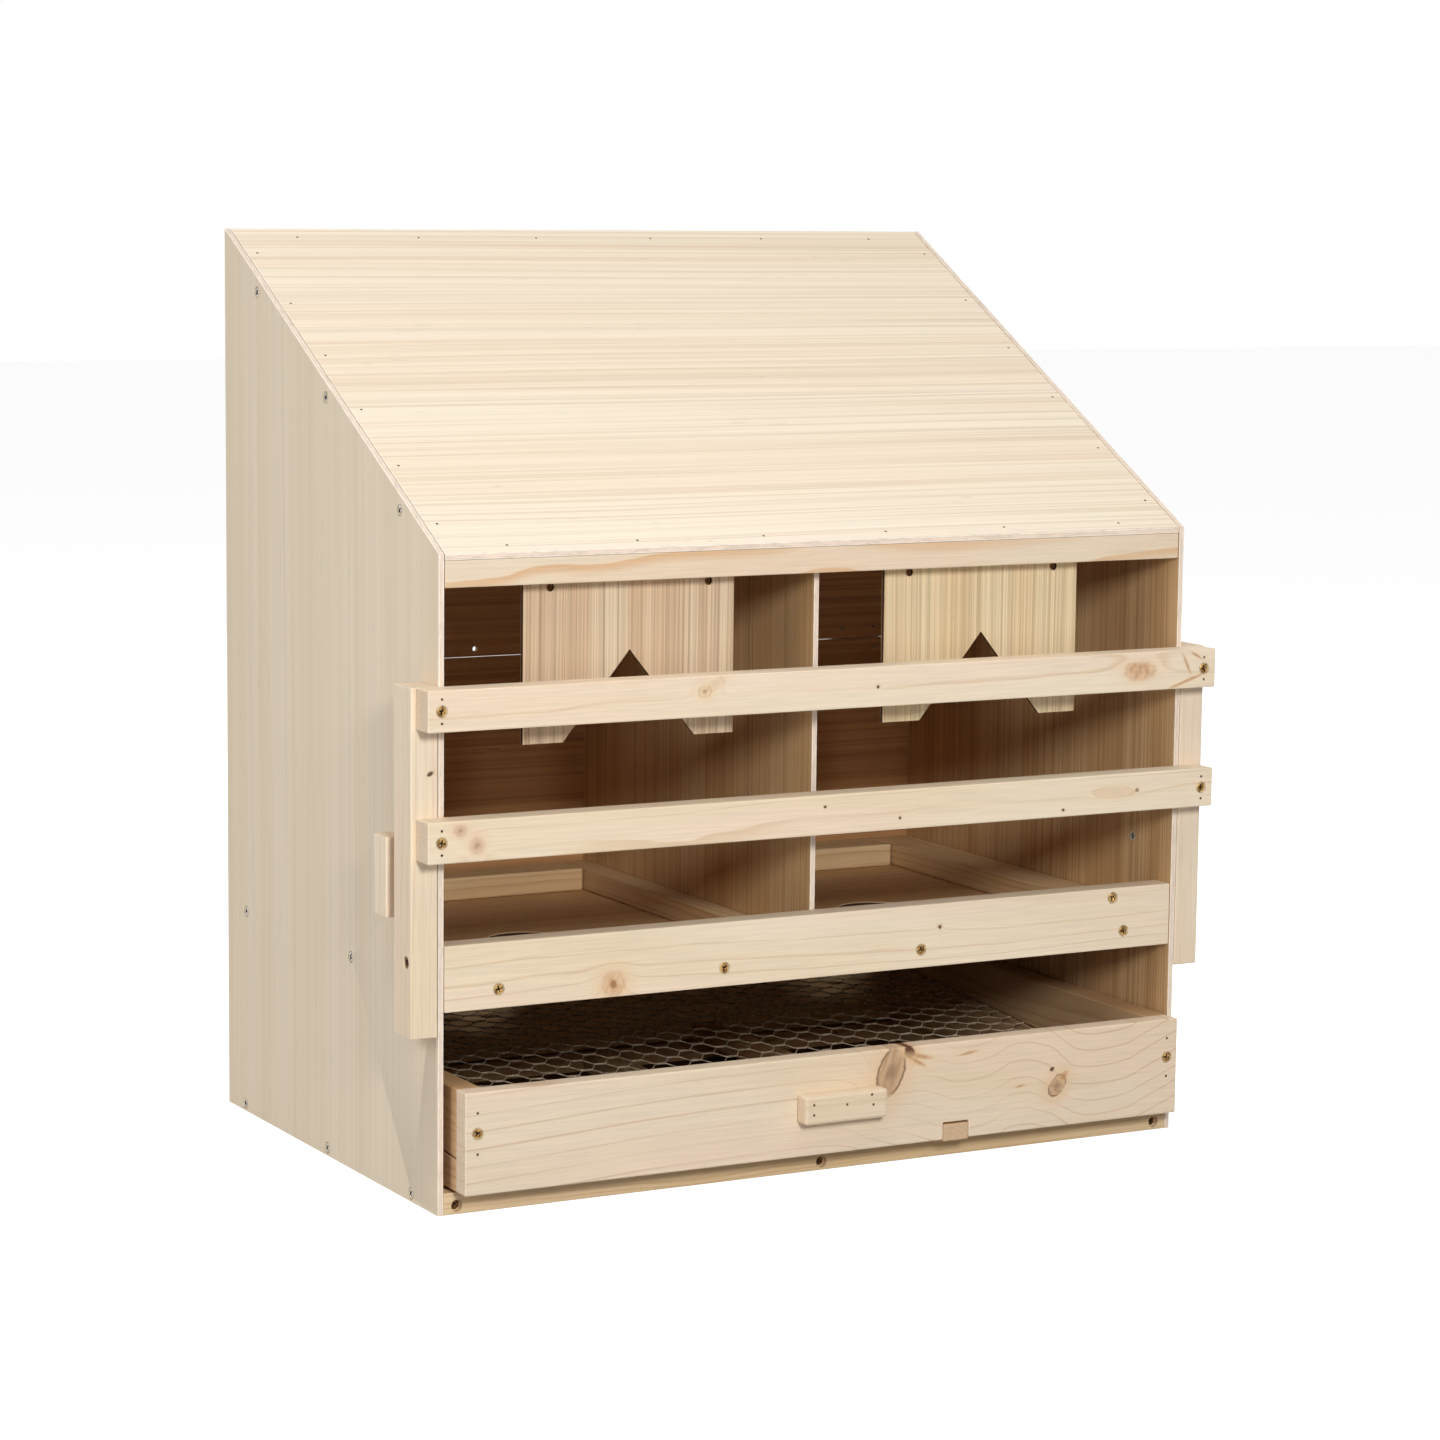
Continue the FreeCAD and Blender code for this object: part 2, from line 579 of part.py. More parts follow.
def nest_floors(panel_holes, board_holes):
    """Plywood floor of each nest with its egg hole, and the battens that lie on the floors."""
    upright = ("floor_level", "floor_batten_height")
    side_edge = f"({LEFT_INNER} + side_batten_width)"
    centre_edge = "(-centre_batten_width / 2)"
    full_depth = span(BOARD_BACK, REAR_INNER)
    for side, sign in SIDES:
        start, length = on_side(sign, span(LEFT_INNER, "0"))
        end = f"({start} + ({length}))"
        outline = [(start, BOARD_BACK), (end, BOARD_BACK), (end, REAR_INNER), (start, REAR_INNER)]
        egg = [(f"({start} + {end}) / 2", f"{FRONT} + egg_hole_setback", "egg_hole")]
        floor = plate(f"{side}_nest_floor", "XY", outline, ("floor_level - ply", "ply"), egg)
        node(f"{side}_nest_floor", floor)
        beside = on_side(sign, (LEFT_INNER, "side_batten_width"))
        batten = block(f"{side}_floor_batten_blank", beside, full_depth, upright)
        drilled(f"{side}_floor_batten", batten, panel_holes)
        between = on_side(sign, span(side_edge, centre_edge))
        rear = (f"{REAR_INNER} - rear_batten_depth", "rear_batten_depth")
        node(f"{side}_rear_floor_batten", block(f"{side}_rear_floor_batten", between, rear, upright))
        front = block(f"{side}_front_batten_blank", between, (BOARD_BACK, "front_batten_depth"), upright)
        drilled(f"{side}_front_floor_batten", front, board_holes)
    centre = (centre_edge, "centre_batten_width")
    node("centre_floor_batten", block("centre_floor_batten", centre, full_depth, upright))


def bottom_frame(panel_holes):
    """Front and rear rail on the ground with three runners between them."""
    stretch = (LEFT_INNER, INNER_WIDTH)
    low = ("0", "bottom_rail_height")
    side_runner = (LEFT_INNER, "runner_width")
    middles = [f"{sign} * (box_width / 2 - ply - runner_width / 2)" for side, sign in SIDES] + ["0"]
    places = []
    for x in middles:
        place = point(x, f"{FRONT} + counterbore_depth", "runner_screw_height")
        places.append((place, BACKWARD, "rail_screw_length"))
    holes = screws("bottom_rail_screws", places)
    radius = number("counterbore / 2")
    depth = number("counterbore_depth")
    sunk = turned([(0, 0), (radius, 0), (radius, -depth), (0, -depth)])
    mouths = [point(x, FRONT, "runner_screw_height") for x in middles]
    counterbores = group("bottom_rail_counterbores", [aimed(sunk, mouth, BACKWARD) for mouth in mouths])
    rail = block("bottom_front_rail_blank", stretch, (FRONT, "bottom_rail_thickness"), low)
    drilled("bottom_front_rail", rail, counterbores, holes)
    rear = (f"{REAR_INNER} - bottom_rail_thickness", "bottom_rail_thickness")
    node("bottom_rear_rail", block("bottom_rear_rail", stretch, rear, low))
    between = span(f"{FRONT} + bottom_rail_thickness", f"{REAR_INNER} - bottom_rail_thickness")
    for side, sign in SIDES:
        runner = block(f"{side}_runner_blank", on_side(sign, side_runner), between, ("0", "runner_height"))
        drilled(f"{side}_runner", runner, panel_holes, holes)
    centre = block("centre_runner_blank", ("-runner_width / 2", "runner_width"), between, low)
    drilled("centre_runner", centre, holes)


def hinge_screws(name, sign):
    """Short screws of the two hinges, above (1) or below (-1) the pin; returns their holes."""
    sizes = [number(size) for size in ("hinge_screw", "hinge_screw_head", "hinge_screw_length")]
    screw = countersunk(*sizes)
    hole = countersunk(*sizes, number("screw_fit"), number("hinge_leaf_thickness"))
    solids = []
    holes = []
    for side, across in SIDES:
        for half in ("- 1 / 2", "+ 1 / 2"):
            x = f"{across} * {HINGE_X} {half} * hinge_screw_spacing"
            z = f"seam_height + {sign} * ({LEAF_EDGE} + hinge_leaf_width) / 2"
            place = point(x, f"{REAR} + hinge_leaf_thickness", z)
            solids.append(aimed(screw, place, FORWARD))
            holes.append(aimed(hole, place, FORWARD))
    node(name, group(name, solids))
    return group(f"{name}_holes", holes)


def hinge_leaves(name, sign, holes):
    """A leaf of each hinge, above (1) or below (-1) the pin, with its own knuckles and screw holes."""
    along = FreeCAD.Vector(1, 0, 0)
    length = number("hinge_length")
    sheet_thickness = number("hinge_leaf_thickness")
    radius = number("hinge_knuckle / 2")
    play = number("hinge_play")
    near = number(LEAF_EDGE)
    width = number("hinge_leaf_width") - near
    third = length / 3
    knuckles = [(third + play, 2 * third - play)] if sign > 0 else [(0, third), (2 * third, length)]
    leaves = []
    for side, across in SIDES:
        start = point(f"{across} * {HINGE_X} - hinge_length / 2", HINGE_Y, "seam_height")
        corner = FreeCAD.Vector(start.x, start.y - radius, start.z + (near if sign > 0 else -near - width))
        leaf = Part.makeBox(length, sheet_thickness, width, corner)
        for first, last in knuckles:
            foot = FreeCAD.Vector(start.x + first, start.y - radius, start.z + (0 if sign > 0 else -near))
            neck = Part.makeBox(last - first, sheet_thickness, near, foot)
            barrel = Part.makeCylinder(radius, last - first, start + along * first, along)
            leaf = leaf.fuse([neck, barrel])
        bore = Part.makeCylinder(number("hinge_pin / 2 + pin_clearance"), length, start, along)
        leaves.append(leaf.cut([bore, holes.Shape]).removeSplitter())
    node(name, group(name, [leaf.Solids[0] for leaf in leaves]))


def rear_wall():
    """Fixed lower half of the rear wall, the door above it, and the hinges between them."""
    low_holes = hinge_screws("hinge_lower_screws", -1)
    high_holes = hinge_screws("door_hinge_screws", 1)
    lower = block(
        "lower_rear_blank", (LEFT_INNER, INNER_WIDTH), (REAR_INNER, "ply"), ("0", SEAM_BOTTOM)
    )
    drilled("lower_rear_panel", lower, low_holes)
    stretch = (f"{LEFT_INNER} + door_side_gap", f"{INNER_WIDTH} - 2 * door_side_gap")
    upright = span(SEAM_TOP, f"{REAR_RAIL_BASE} - door_top_gap")
    door = block("rear_door_blank", stretch, (REAR_INNER, "ply"), upright)
    hole_height = "seam_height + door_hole_rise"
    hole = rod("door_hole_tool", "door_hole / 2", "-door_hole_offset", (REAR_INNER, "ply"), hole_height)
    drilled("rear_door_panel", door, high_holes, hole)
    hinge_leaves("hinge_lower_leaves", -1, low_holes)
    hinge_leaves("hinge_door_leaves", 1, high_holes)
    along = FreeCAD.Vector(1, 0, 0)
    pins = []
    for side, across in SIDES:
        start = point(f"{across} * {HINGE_X} - hinge_length / 2", HINGE_Y, "seam_height")
        pins.append(Part.makeCylinder(number("hinge_pin / 2"), number("hinge_length"), start, along))
    node("hinge_pins", group("hinge_pins", pins))


def button_screw():
    """Screw that holds the turn button to the rear top rail; returns its hole in the rail."""
    seat = point("0", f"{REAR} + 2 * button_gap + button_thickness", BUTTON_HEIGHT)
    sizes = ("pivot_diameter", "pivot_head", "pivot_head_height", "button_screw_length")
    screw = headed(*map(number, sizes))
    node("button_screw", group("button_screw", [aimed(screw, seat, FORWARD)]))
    tip = f"{REAR} + 2 * button_gap + button_thickness - button_screw_length - screw_fit"
    return rod("button_screw_hole", "pivot_diameter / 2 + screw_fit", "0", span(tip, REAR), BUTTON_HEIGHT)


def turn_button():
    """Round-ended button, stored across the box so that the door is free."""
    half = "button_length / 2 - button_width / 2"
    upright = (f"{BUTTON_HEIGHT} - button_width / 2", "button_width")
    depth = (f"{REAR} + button_gap", "button_thickness")
    middle = block("button_middle", (f"-({half})", f"2 * ({half})"), depth, upright)
    ends = [
        rod(f"button_{side}_end", "button_width / 2", f"{sign} * ({half})", depth, BUTTON_HEIGHT)
        for side, sign in SIDES
    ]
    rounded = doc.addObject("Part::MultiFuse", "button_blank")
    rounded.Shapes = [middle] + ends
    rounded.Refine = True
    bore = rod("button_bore", "pivot_diameter / 2 + pin_clearance", "0", depth, BUTTON_HEIGHT)
    doc.recompute()
    drilled("turn_button", rounded, bore)


def perch():
    """Two bars outside the side panels, two rails across their front, and their fasteners."""
    top = f"({PIVOT_HEIGHT} + perch_reach)"
    face = f"({FRONT} - perch_clearance)"
    front = f"({face} - perch_thickness)"
    outer = "(box_width / 2 + perch_clearance + perch_thickness)"
    rails = (("upper", f"({top} - perch_width)"), ("lower", f"({top} - perch_width - rail_spacing)"))
    screw_places = []
    brad_places = []
    for rail, base in rails:
        for side, sign in SIDES:
            x = f"{sign} * ({outer} - perch_screw_inset)"
            z = f"{base} + perch_width / 2"
            screw_places.append((point(x, front, z), BACKWARD, "rail_screw_length"))
            for step in ("-", "+"):
                brad_places.append((point(x, front, f"{z} {step} perch_brad_spacing"), BACKWARD))
    holes = screws("perch_screws", screw_places)
    brads("perch_brads", "perch_brad_length", brad_places)
    for rail, base in rails:
        stretch = (f"rail_setback - {outer}", f"2 * {outer} - 2 * rail_setback")
        blank = block(f"{rail}_rail_blank", stretch, (front, "perch_thickness"), (base, "perch_width"))
        drilled(f"{rail}_perch_rail", blank, holes)
    for side, sign in SIDES:
        stretch = on_side(sign, (f"-{outer}", "perch_thickness"))
        upright = span(f"{PIVOT_HEIGHT} - perch_tail", top)
        blank = block(f"{side}_bar_blank", stretch, (face, "perch_width"), upright)
        pivot = pivot_holes(f"{side}_bar_pivot_hole", "pivot_diameter / 2 + pin_clearance", sign)
        drilled(f"{side}_perch_bar", blank, holes, pivot)


def netting():
    """Hexagonal netting: one sheet with whole cells cut out between the drawer sides.

    The twisted sides of the cells run across the drawer, so each column of cells runs front to back.
    """
    slope = math.radians(number("net_slope"))
    thickness = number("net_thickness")
    half_width = number(f"{DRAWER_WIDTH} / 2 - net_inset")
    start = thickness * math.tan(slope)
    end = number(f"{DRAWER_BACK_FACE} - {DRAWER_FACE}") / math.cos(slope)
    wire = number("net_wire")
    cell = number("net_cell")
    radius = (cell - wire) / math.sqrt(3)
    window = number(f"{DRAWER_WIDTH} / 2 - drawer_board_thickness") - wire
    column_pitch = cell * math.sqrt(3) / 2
    columns = int((window - radius) // column_pitch)
    middle = (start + end) / 2
    reach = (end - start) / 2 - wire / 2 - cell / 2
    edges = [(-half_width, start), (half_width, start), (half_width, end), (-half_width, end)]
    corners = [FreeCAD.Vector(x, y, 0) for x, y in edges]
    outlines = [Part.makePolygon(corners + corners[:1])]
    for column in range(-columns, columns + 1):
        shift = cell / 2 if column % 2 else 0.0
        for row in range(-int((reach + shift) // cell), int((reach - shift) // cell) + 1):
            centre = FreeCAD.Vector(column * column_pitch, middle + shift + row * cell, 0)
            hexagon = []
            for side in range(6):
                turn = math.radians(60 * side)
                hexagon.append(centre + FreeCAD.Vector(math.cos(turn), math.sin(turn), 0) * radius)
            outlines.append(Part.makePolygon(hexagon + hexagon[:1]))
    print("netting gaps:", len(outlines) - 1)
    face = Part.Face(Part.Wire(outlines[0]))
    face.cutHoles([Part.Wire(outline) for outline in outlines[1:]])
    face.validate()
    piece = doc.addObject("Part::Feature", "wire_netting")
    piece.Shape = face.extrude(FreeCAD.Vector(0, 0, thickness))
    tilt = FreeCAD.Rotation(FreeCAD.Vector(1, 0, 0), number("net_slope"))
    piece.Placement = FreeCAD.Placement(point("0", DRAWER_FACE, net_face(DRAWER_FACE)), tilt)
    node("wire_netting", piece)


def drawer():
    """Egg drawer: notched front and back, split sides that hold the netting, tie batten, handle."""
    top = f"({DRAWER_BASE} + drawer_height)"
    front_face = f"({DRAWER_FACE} - drawer_front_thickness)"
    tie_left = "(tie_offset - tie_width / 2)"
    tie_right = "(tie_offset + tie_width / 2)"
    tie_base = f"({DRAWER_BASE} - tie_drop)"
    notch_top = f"({tie_base} + tie_height + tie_gap)"
    side_middle = f"({DRAWER_WIDTH} / 2 - drawer_board_thickness / 2)"
    rear_middle = f"({DRAWER_REAR} - drawer_board_thickness / 2)"
    front_level = f"({DRAWER_BASE} + drawer_screw_rise)"
    strip_level = f"({DRAWER_BASE} + {net_face(rear_middle)}) / 2"
    side_level = f"({net_top(rear_middle)} + {top}) / 2"
    screw_places = []
    brad_places = []
    for side, sign in SIDES:
        x = f"{sign} * {side_middle}"
        screw_places.append((point(x, front_face, front_level), BACKWARD, "rail_screw_length"))
        for step in ("-", "+"):
            z = f"{front_level} {step} drawer_brad_spacing"
            brad_places.append((point(x, front_face, z), BACKWARD))
        for z in (strip_level, side_level):
            place = point(f"{sign} * {DRAWER_WIDTH} / 2", rear_middle, z)
            screw_places.append((place, (-sign, 0, 0), "rail_screw_length"))
    holes = screws("drawer_screws", screw_places)

    def notched(name, start, end, stretch):
        """Upright board with the tie batten's notch in its lower edge."""
        outline = [
            (start, DRAWER_BASE),
            (tie_left, DRAWER_BASE),
            (tie_left, notch_top),
            (tie_right, notch_top),
            (tie_right, DRAWER_BASE),
            (end, DRAWER_BASE),
            (end, top),
            (start, top),
        ]
        return plate(name, "XZ", outline, stretch)

    half = f"{DRAWER_WIDTH} / 2"
    inner = f"({half} - drawer_board_thickness)"
    front = notched("drawer_front_blank", f"-{half}", half, (front_face, "drawer_front_thickness"))
    drilled("drawer_front", front, holes)
    back = notched("drawer_back_blank", f"-{inner}", inner, (DRAWER_BACK_FACE, "drawer_board_thickness"))
    drilled("drawer_back", back, holes)
    upper = [
        (DRAWER_FACE, net_top(DRAWER_FACE)),
        (DRAWER_REAR, net_top(DRAWER_REAR)),
        (DRAWER_REAR, top),
        (DRAWER_FACE, top),
    ]
    lower = [
        (DRAWER_FACE, DRAWER_BASE),
        (DRAWER_REAR, DRAWER_BASE),
        (DRAWER_REAR, net_face(DRAWER_REAR)),
        (DRAWER_FACE, net_face(DRAWER_FACE)),
    ]
    for side, sign in SIDES:
        stretch = on_side(sign, (f"-{half}", "drawer_board_thickness"))
        for part, outline in (("side", upper), ("strip", lower)):
            name = f"drawer_{side}_{part}"
            drilled(name, plate(f"{name}_blank", "YZ", outline, stretch), holes)
    tie_length = span(front_face, DRAWER_REAR)
    tie = block("drawer_tie_batten", (tie_left, "tie_width"), tie_length, (tie_base, "tie_height"))
    node("drawer_tie_batten", tie)
    handle_middle = f"({DRAWER_BASE} + drawer_height / 2)"
    handle = block(
        "drawer_handle",
        ("-handle_width / 2", "handle_width"),
        (f"{front_face} - handle_thickness", "handle_thickness"),
        (f"{handle_middle} - handle_height / 2", "handle_height"),
    )
    node("drawer_handle", handle)
    for across, rise in HANDLE_BRADS:
        x = f"{across} * handle_width"
        z = f"{handle_middle} + {rise} * handle_height"
        brad_places.append((point(x, f"{front_face} - handle_thickness", z), BACKWARD))
    brads("drawer_brads", "brad_length", brad_places)
    netting()


def panel_brads():
    """Brads round the roof's border and along the lower rear panel."""
    slope = math.atan(number(SLOPE))
    into_roof = (0, math.sin(slope), -math.cos(slope))
    places = []
    along_slope = ("1 / 12", "1 / 4", "5 / 12", "7 / 12", "3 / 4", "11 / 12")
    across = ("-5 / 12", "-1 / 4", "-1 / 12", "1 / 12", "1 / 4", "5 / 12")
    for side, sign in SIDES:
        for share in along_slope:
            y = f"({FRONT} + box_depth * {share})"
            x = f"{sign} * (box_width / 2 - ply - roof_batten_width / 2)"
            places.append((point(x, y, roof_face(y)), into_roof))
    for y in (f"({FRONT} + brad_inset)", f"({REAR_RAIL_FRONT} + brad_inset)"):
        for share in across:
            places.append((point(f"{share} * {INNER_WIDTH}", y, roof_face(y)), into_roof))
    for z in ("bottom_rail_height / 2", "floor_level + floor_batten_height / 2"):
        for share in across:
            places.append((point(f"{share} * {INNER_WIDTH}", REAR, z), FORWARD))
    brads("panel_brads", "brad_length", places)


def export():
    """Check every object, then write each sub-part to its own file."""
    doc.recompute()
    for item in doc.Objects:
        if "Invalid" in item.State or "Error" in item.State:
            raise ValueError(f"{item.Name} failed: {item.State}")
    for name, piece in NODES.items():
        if piece.Shape.isNull() or not piece.Shape.isValid() or not piece.Shape.Solids:
            raise ValueError(f"{name} has no sound shape")
    os.makedirs("parts", exist_ok=True)
    for name, piece in NODES.items():
        piece.Shape.exportStep(f"parts/{name}.step")
    print("sub-parts:", len(NODES))


screw_holes = shell()
curtains()
nest_floors(screw_holes, front_board())
bottom_frame(screw_holes)
rear_wall()
turn_button()
perch()
pivot_screws()
drawer()
panel_brads()
export()
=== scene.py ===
"""Looks of a two-nest chicken nesting box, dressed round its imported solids."""

import json
import logging
import math
import random
from dataclasses import dataclass, field
from enum import Enum, IntEnum
from functools import lru_cache
from typing import Sequence, Union

import bmesh
import bpy
import numpy as np
from mathutils import Matrix, Vector


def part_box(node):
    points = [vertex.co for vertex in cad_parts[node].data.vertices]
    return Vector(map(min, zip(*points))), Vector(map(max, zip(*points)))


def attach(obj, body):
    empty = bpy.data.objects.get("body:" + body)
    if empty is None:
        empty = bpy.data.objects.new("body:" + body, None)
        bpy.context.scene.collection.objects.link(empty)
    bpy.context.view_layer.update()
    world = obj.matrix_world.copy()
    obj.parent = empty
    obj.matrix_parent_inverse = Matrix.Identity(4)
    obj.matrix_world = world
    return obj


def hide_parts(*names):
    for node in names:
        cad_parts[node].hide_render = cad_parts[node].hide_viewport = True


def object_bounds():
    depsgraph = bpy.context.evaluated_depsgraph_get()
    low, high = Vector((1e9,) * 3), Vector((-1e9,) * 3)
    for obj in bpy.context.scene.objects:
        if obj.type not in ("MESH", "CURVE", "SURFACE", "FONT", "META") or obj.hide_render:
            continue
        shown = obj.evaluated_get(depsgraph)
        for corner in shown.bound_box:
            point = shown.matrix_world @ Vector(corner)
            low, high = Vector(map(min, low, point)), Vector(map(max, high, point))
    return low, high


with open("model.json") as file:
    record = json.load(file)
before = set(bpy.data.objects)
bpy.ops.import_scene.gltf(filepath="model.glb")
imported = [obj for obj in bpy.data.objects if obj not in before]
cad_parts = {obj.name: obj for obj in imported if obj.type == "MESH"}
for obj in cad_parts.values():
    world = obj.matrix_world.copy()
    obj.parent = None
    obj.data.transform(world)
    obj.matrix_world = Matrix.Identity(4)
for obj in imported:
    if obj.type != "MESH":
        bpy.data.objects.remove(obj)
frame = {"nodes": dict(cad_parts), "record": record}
CAD_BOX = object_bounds()
MM = 0.001
GRAIN = "grain"
LOG = logging.getLogger("nesting_box")

Socket = bpy.types.NodeSocket
Colour = tuple[float, float, float]
Triple = tuple[float, float, float]
Feed = Union[float, Triple, Socket]
Rings = list[list[bmesh.types.BMVert]]


def srgb(red: int, green: int, blue: int) -> Colour:
    """Turn a colour as a screen shows it into linear light.

    Args:
        red: red share, 0 to 255.
        green: green share, 0 to 255.
        blue: blue share, 0 to 255.

    Returns:
        The three linear shares, 0 to 1.
    """
    shares = (value / 255 for value in (red, green, blue))
    return tuple(s / 12.92 if s <= 0.04045 else ((s + 0.055) / 1.055) ** 2.4 for s in shares)


def body_of(node: str) -> str:
    """Name the body that a node moves with."""
    bodies = frame["record"]["behaviour"]["bodies"]
    return next(body for body, members in bodies.items() if node in members)


def slot_of(node: str) -> str:
    """Name the record's material slot of a node."""
    return next(row["material_slot"] for row in frame["record"]["subparts"] if row["node"] == node)


def standing_for(node: str, mesh: bpy.types.Mesh, ending: str) -> bpy.types.Object:
    """Make the piece that is shown in place of a node and moves as the node does.

    Args:
        node: the node that the piece stands for.
        mesh: the piece's mesh, in the part's own frame.
        ending: word added to the node's name.

    Returns:
        The new piece.
    """
    piece = bpy.data.objects.new(f"{node}_{ending}", mesh)
    bpy.context.scene.collection.objects.link(piece)
    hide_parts(node)
    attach(piece, body_of(node))
    LOG.info("%s: %d faces", piece.name, len(mesh.polygons))
    return piece


@dataclass(frozen=True)
class Noise:
    """Smooth noise about 0.5.

    Attributes:
        cells: cells per metre along each axis.
        detail: octaves.
        roughness: weight of the finer octaves.
    """

    cells: Triple
    detail: float = 2.0
    roughness: float = 0.5


class Graph:
    """A node tree, with short calls that add nodes to it and link them.

    Attributes:
        MIX_INPUTS: places of a Mix node's share and its two colours among its inputs.
        MIX_RESULT: place of the mixed colour among its outputs.
    """

    MIX_INPUTS = (0, 6, 7)
    MIX_RESULT = 2

    def __init__(self, tree: bpy.types.NodeTree) -> None:
        """Take the tree to work on."""
        self.tree = tree

    def add(self, kind: str, **settings: object) -> bpy.types.Node:
        """Add a node.

        Args:
            kind: Blender's name of the node type.
            **settings: attributes to set on it.

        Returns:
            The new node.
        """
        made = self.tree.nodes.new(kind)
        for name, value in settings.items():
            setattr(made, name, value)
        return made

    def feed(self, socket: Socket, value: Feed) -> None:
        """Link an input to another socket, or set its value.

        Args:
            socket: the input.
            value: the socket to link it to, or its number, vector or colour.
        """
        if isinstance(value, Socket):
            self.tree.links.new(value, socket)
        elif socket.type == "RGBA":
            socket.default_value = (*value, 1.0)
        else:
            socket.default_value = value

    def math(self, operation: str, *values: Feed) -> Socket:
        """Work on numbers; the operation is a Math node's."""
        return self._worked("ShaderNodeMath", values, operation=operation).outputs[0]

    def vector(self, operation: str, *values: Feed) -> Socket:
        """Work on vectors; the operation is a Vector Math node's."""
        result = "Value" if operation == "LENGTH" else "Vector"
        return self._worked("ShaderNodeVectorMath", values, operation=operation).outputs[result]

    def _worked(self, kind: str, values: Sequence[Feed], **settings: object) -> bpy.types.Node:
        """Add a node and feed its inputs in their order.

        Args:
            kind: Blender's name of the node type.
            values: what the inputs get.
            **settings: attributes to set on it.

        Returns:
            The new node.
        """
        made = self.add(kind, **settings)
        for socket, value in zip(made.inputs, values):
            self.feed(socket, value)
        return made

    def noise(self, place: Feed, kind: Noise) -> Socket:
        """Add noise.

        Args:
            place: coordinates in metres.
            kind: the noise.

        Returns:
            A number about 0.5.
        """
        made = self.add("ShaderNodeTexNoise")
        self.feed(made.inputs["Vector"], self.vector("MULTIPLY", place, kind.cells))
        self.feed(made.inputs["Scale"], 1.0)
        self.feed(made.inputs["Detail"], kind.detail)
        self.feed(made.inputs["Roughness"], kind.roughness)
        return made.outputs[0]

    def step(self, value: Feed, start: Feed, end: float, low: float = 0.0, high: float = 1.0) -> Socket:
        """Ease a number from low, where it is at start, to high, where it is at end."""
        limits = (value, start, end, low, high)
        return self._worked("ShaderNodeMapRange", limits, interpolation_type="SMOOTHSTEP").outputs[0]

    def spread(self, value: Feed, width: float) -> Socket:
        """Turn noise about 0.5 into a number about 0 that swings by the width."""
        return self.math("MULTIPLY", self.math("SUBTRACT", value, 0.5), 2 * width)

    def parts(self, value: Feed) -> bpy.types.NodeOutputs:
        """Split a vector into its three numbers."""
        return self._worked("ShaderNodeSeparateXYZ", (value,)).outputs

    def line(self, along: Feed, points: Sequence[tuple[float, float]]) -> Socket:
        """Follow a smooth line through points.

        Args:
            along: how far along, metres.
            points: how far along and how high, mm, in order.

        Returns:
            The line's height there, metres.
        """
        first, last = points[0][0], points[-1][0]
        low = min(height for _, height in points)
        span = max(height for _, height in points) - low
        shares = [((at - first) / (last - first), (height - low) / span) for at, height in points]
        made = self.add("ShaderNodeFloatCurve")
        bends = made.mapping.curves[0].points
        bends[0].location, bends[1].location = shares[0], shares[-1]
        for share in shares[1:-1]:
            bends.new(*share)
        made.mapping.update()
        start = self.math("SUBTRACT", along, first * MM)
        self.feed(made.inputs["Value"], self.math("DIVIDE", start, (last - first) * MM))
        return self.math("MULTIPLY_ADD", made.outputs[0], span * MM, low * MM)

    def mix(self, share: Feed, first: Feed, second: Feed, blend: str = "MIX") -> Socket:
        """Mix two colours.

        Args:
            share: share of the second colour.
            first: the first colour.
            second: the second colour.
            blend: a Mix node's way of blending them.

        Returns:
            The mixed colour.
        """
        made = self.add("ShaderNodeMix", data_type="RGBA", blend_type=blend)
        for place, value in zip(self.MIX_INPUTS, (share, first, second)):
            self.feed(made.inputs[place], value)
        return made.outputs[self.MIX_RESULT]

    def shade(self, colour: Feed, value: Feed) -> Socket:
        """Multiply a colour by a number."""
        return self.mix(1.0, colour, value, "MULTIPLY")

    def group(self, tree: bpy.types.NodeTree, **values: Feed) -> bpy.types.NodeOutputs:
        """Add a node group and feed its inputs.

        Args:
            tree: the group.
            **values: what its inputs get, by name.

        Returns:
            Its outputs.
        """
        made = self.add("ShaderNodeGroup", node_tree=tree)
        for name, value in values.items():
            self.feed(made.inputs[name], value)
        return made.outputs


class Group(Graph):
    """A node group under construction."""

    def __init__(self, name: str, inputs: dict[str, str], outputs: Sequence[str]) -> None:
        """Make the group's sockets.

        Args:
            name: the group's name.
            inputs: socket types by name.
            outputs: names of the outputs, which are numbers.
        """
        super().__init__(bpy.data.node_groups.new(name, "ShaderNodeTree"))
        for label, kind in inputs.items():
            self.tree.interface.new_socket(label, in_out="INPUT", socket_type=kind)
        for label in outputs:
            self.tree.interface.new_socket(label, in_out="OUTPUT", socket_type="NodeSocketFloat")
        self.given = self.add("NodeGroupInput").outputs
        self.result = self.add("NodeGroupOutput").inputs

    def give(self, **values: Socket) -> bpy.types.NodeTree:
        """Link the outputs.

        Args:
            **values: what the outputs give, by name.

        Returns:
            The finished group.
        """
        for name, value in values.items():
            self.feed(self.result[name], value)
        return self.tree


NUMBER = "NodeSocketFloat"
VECTOR = "NodeSocketVector"

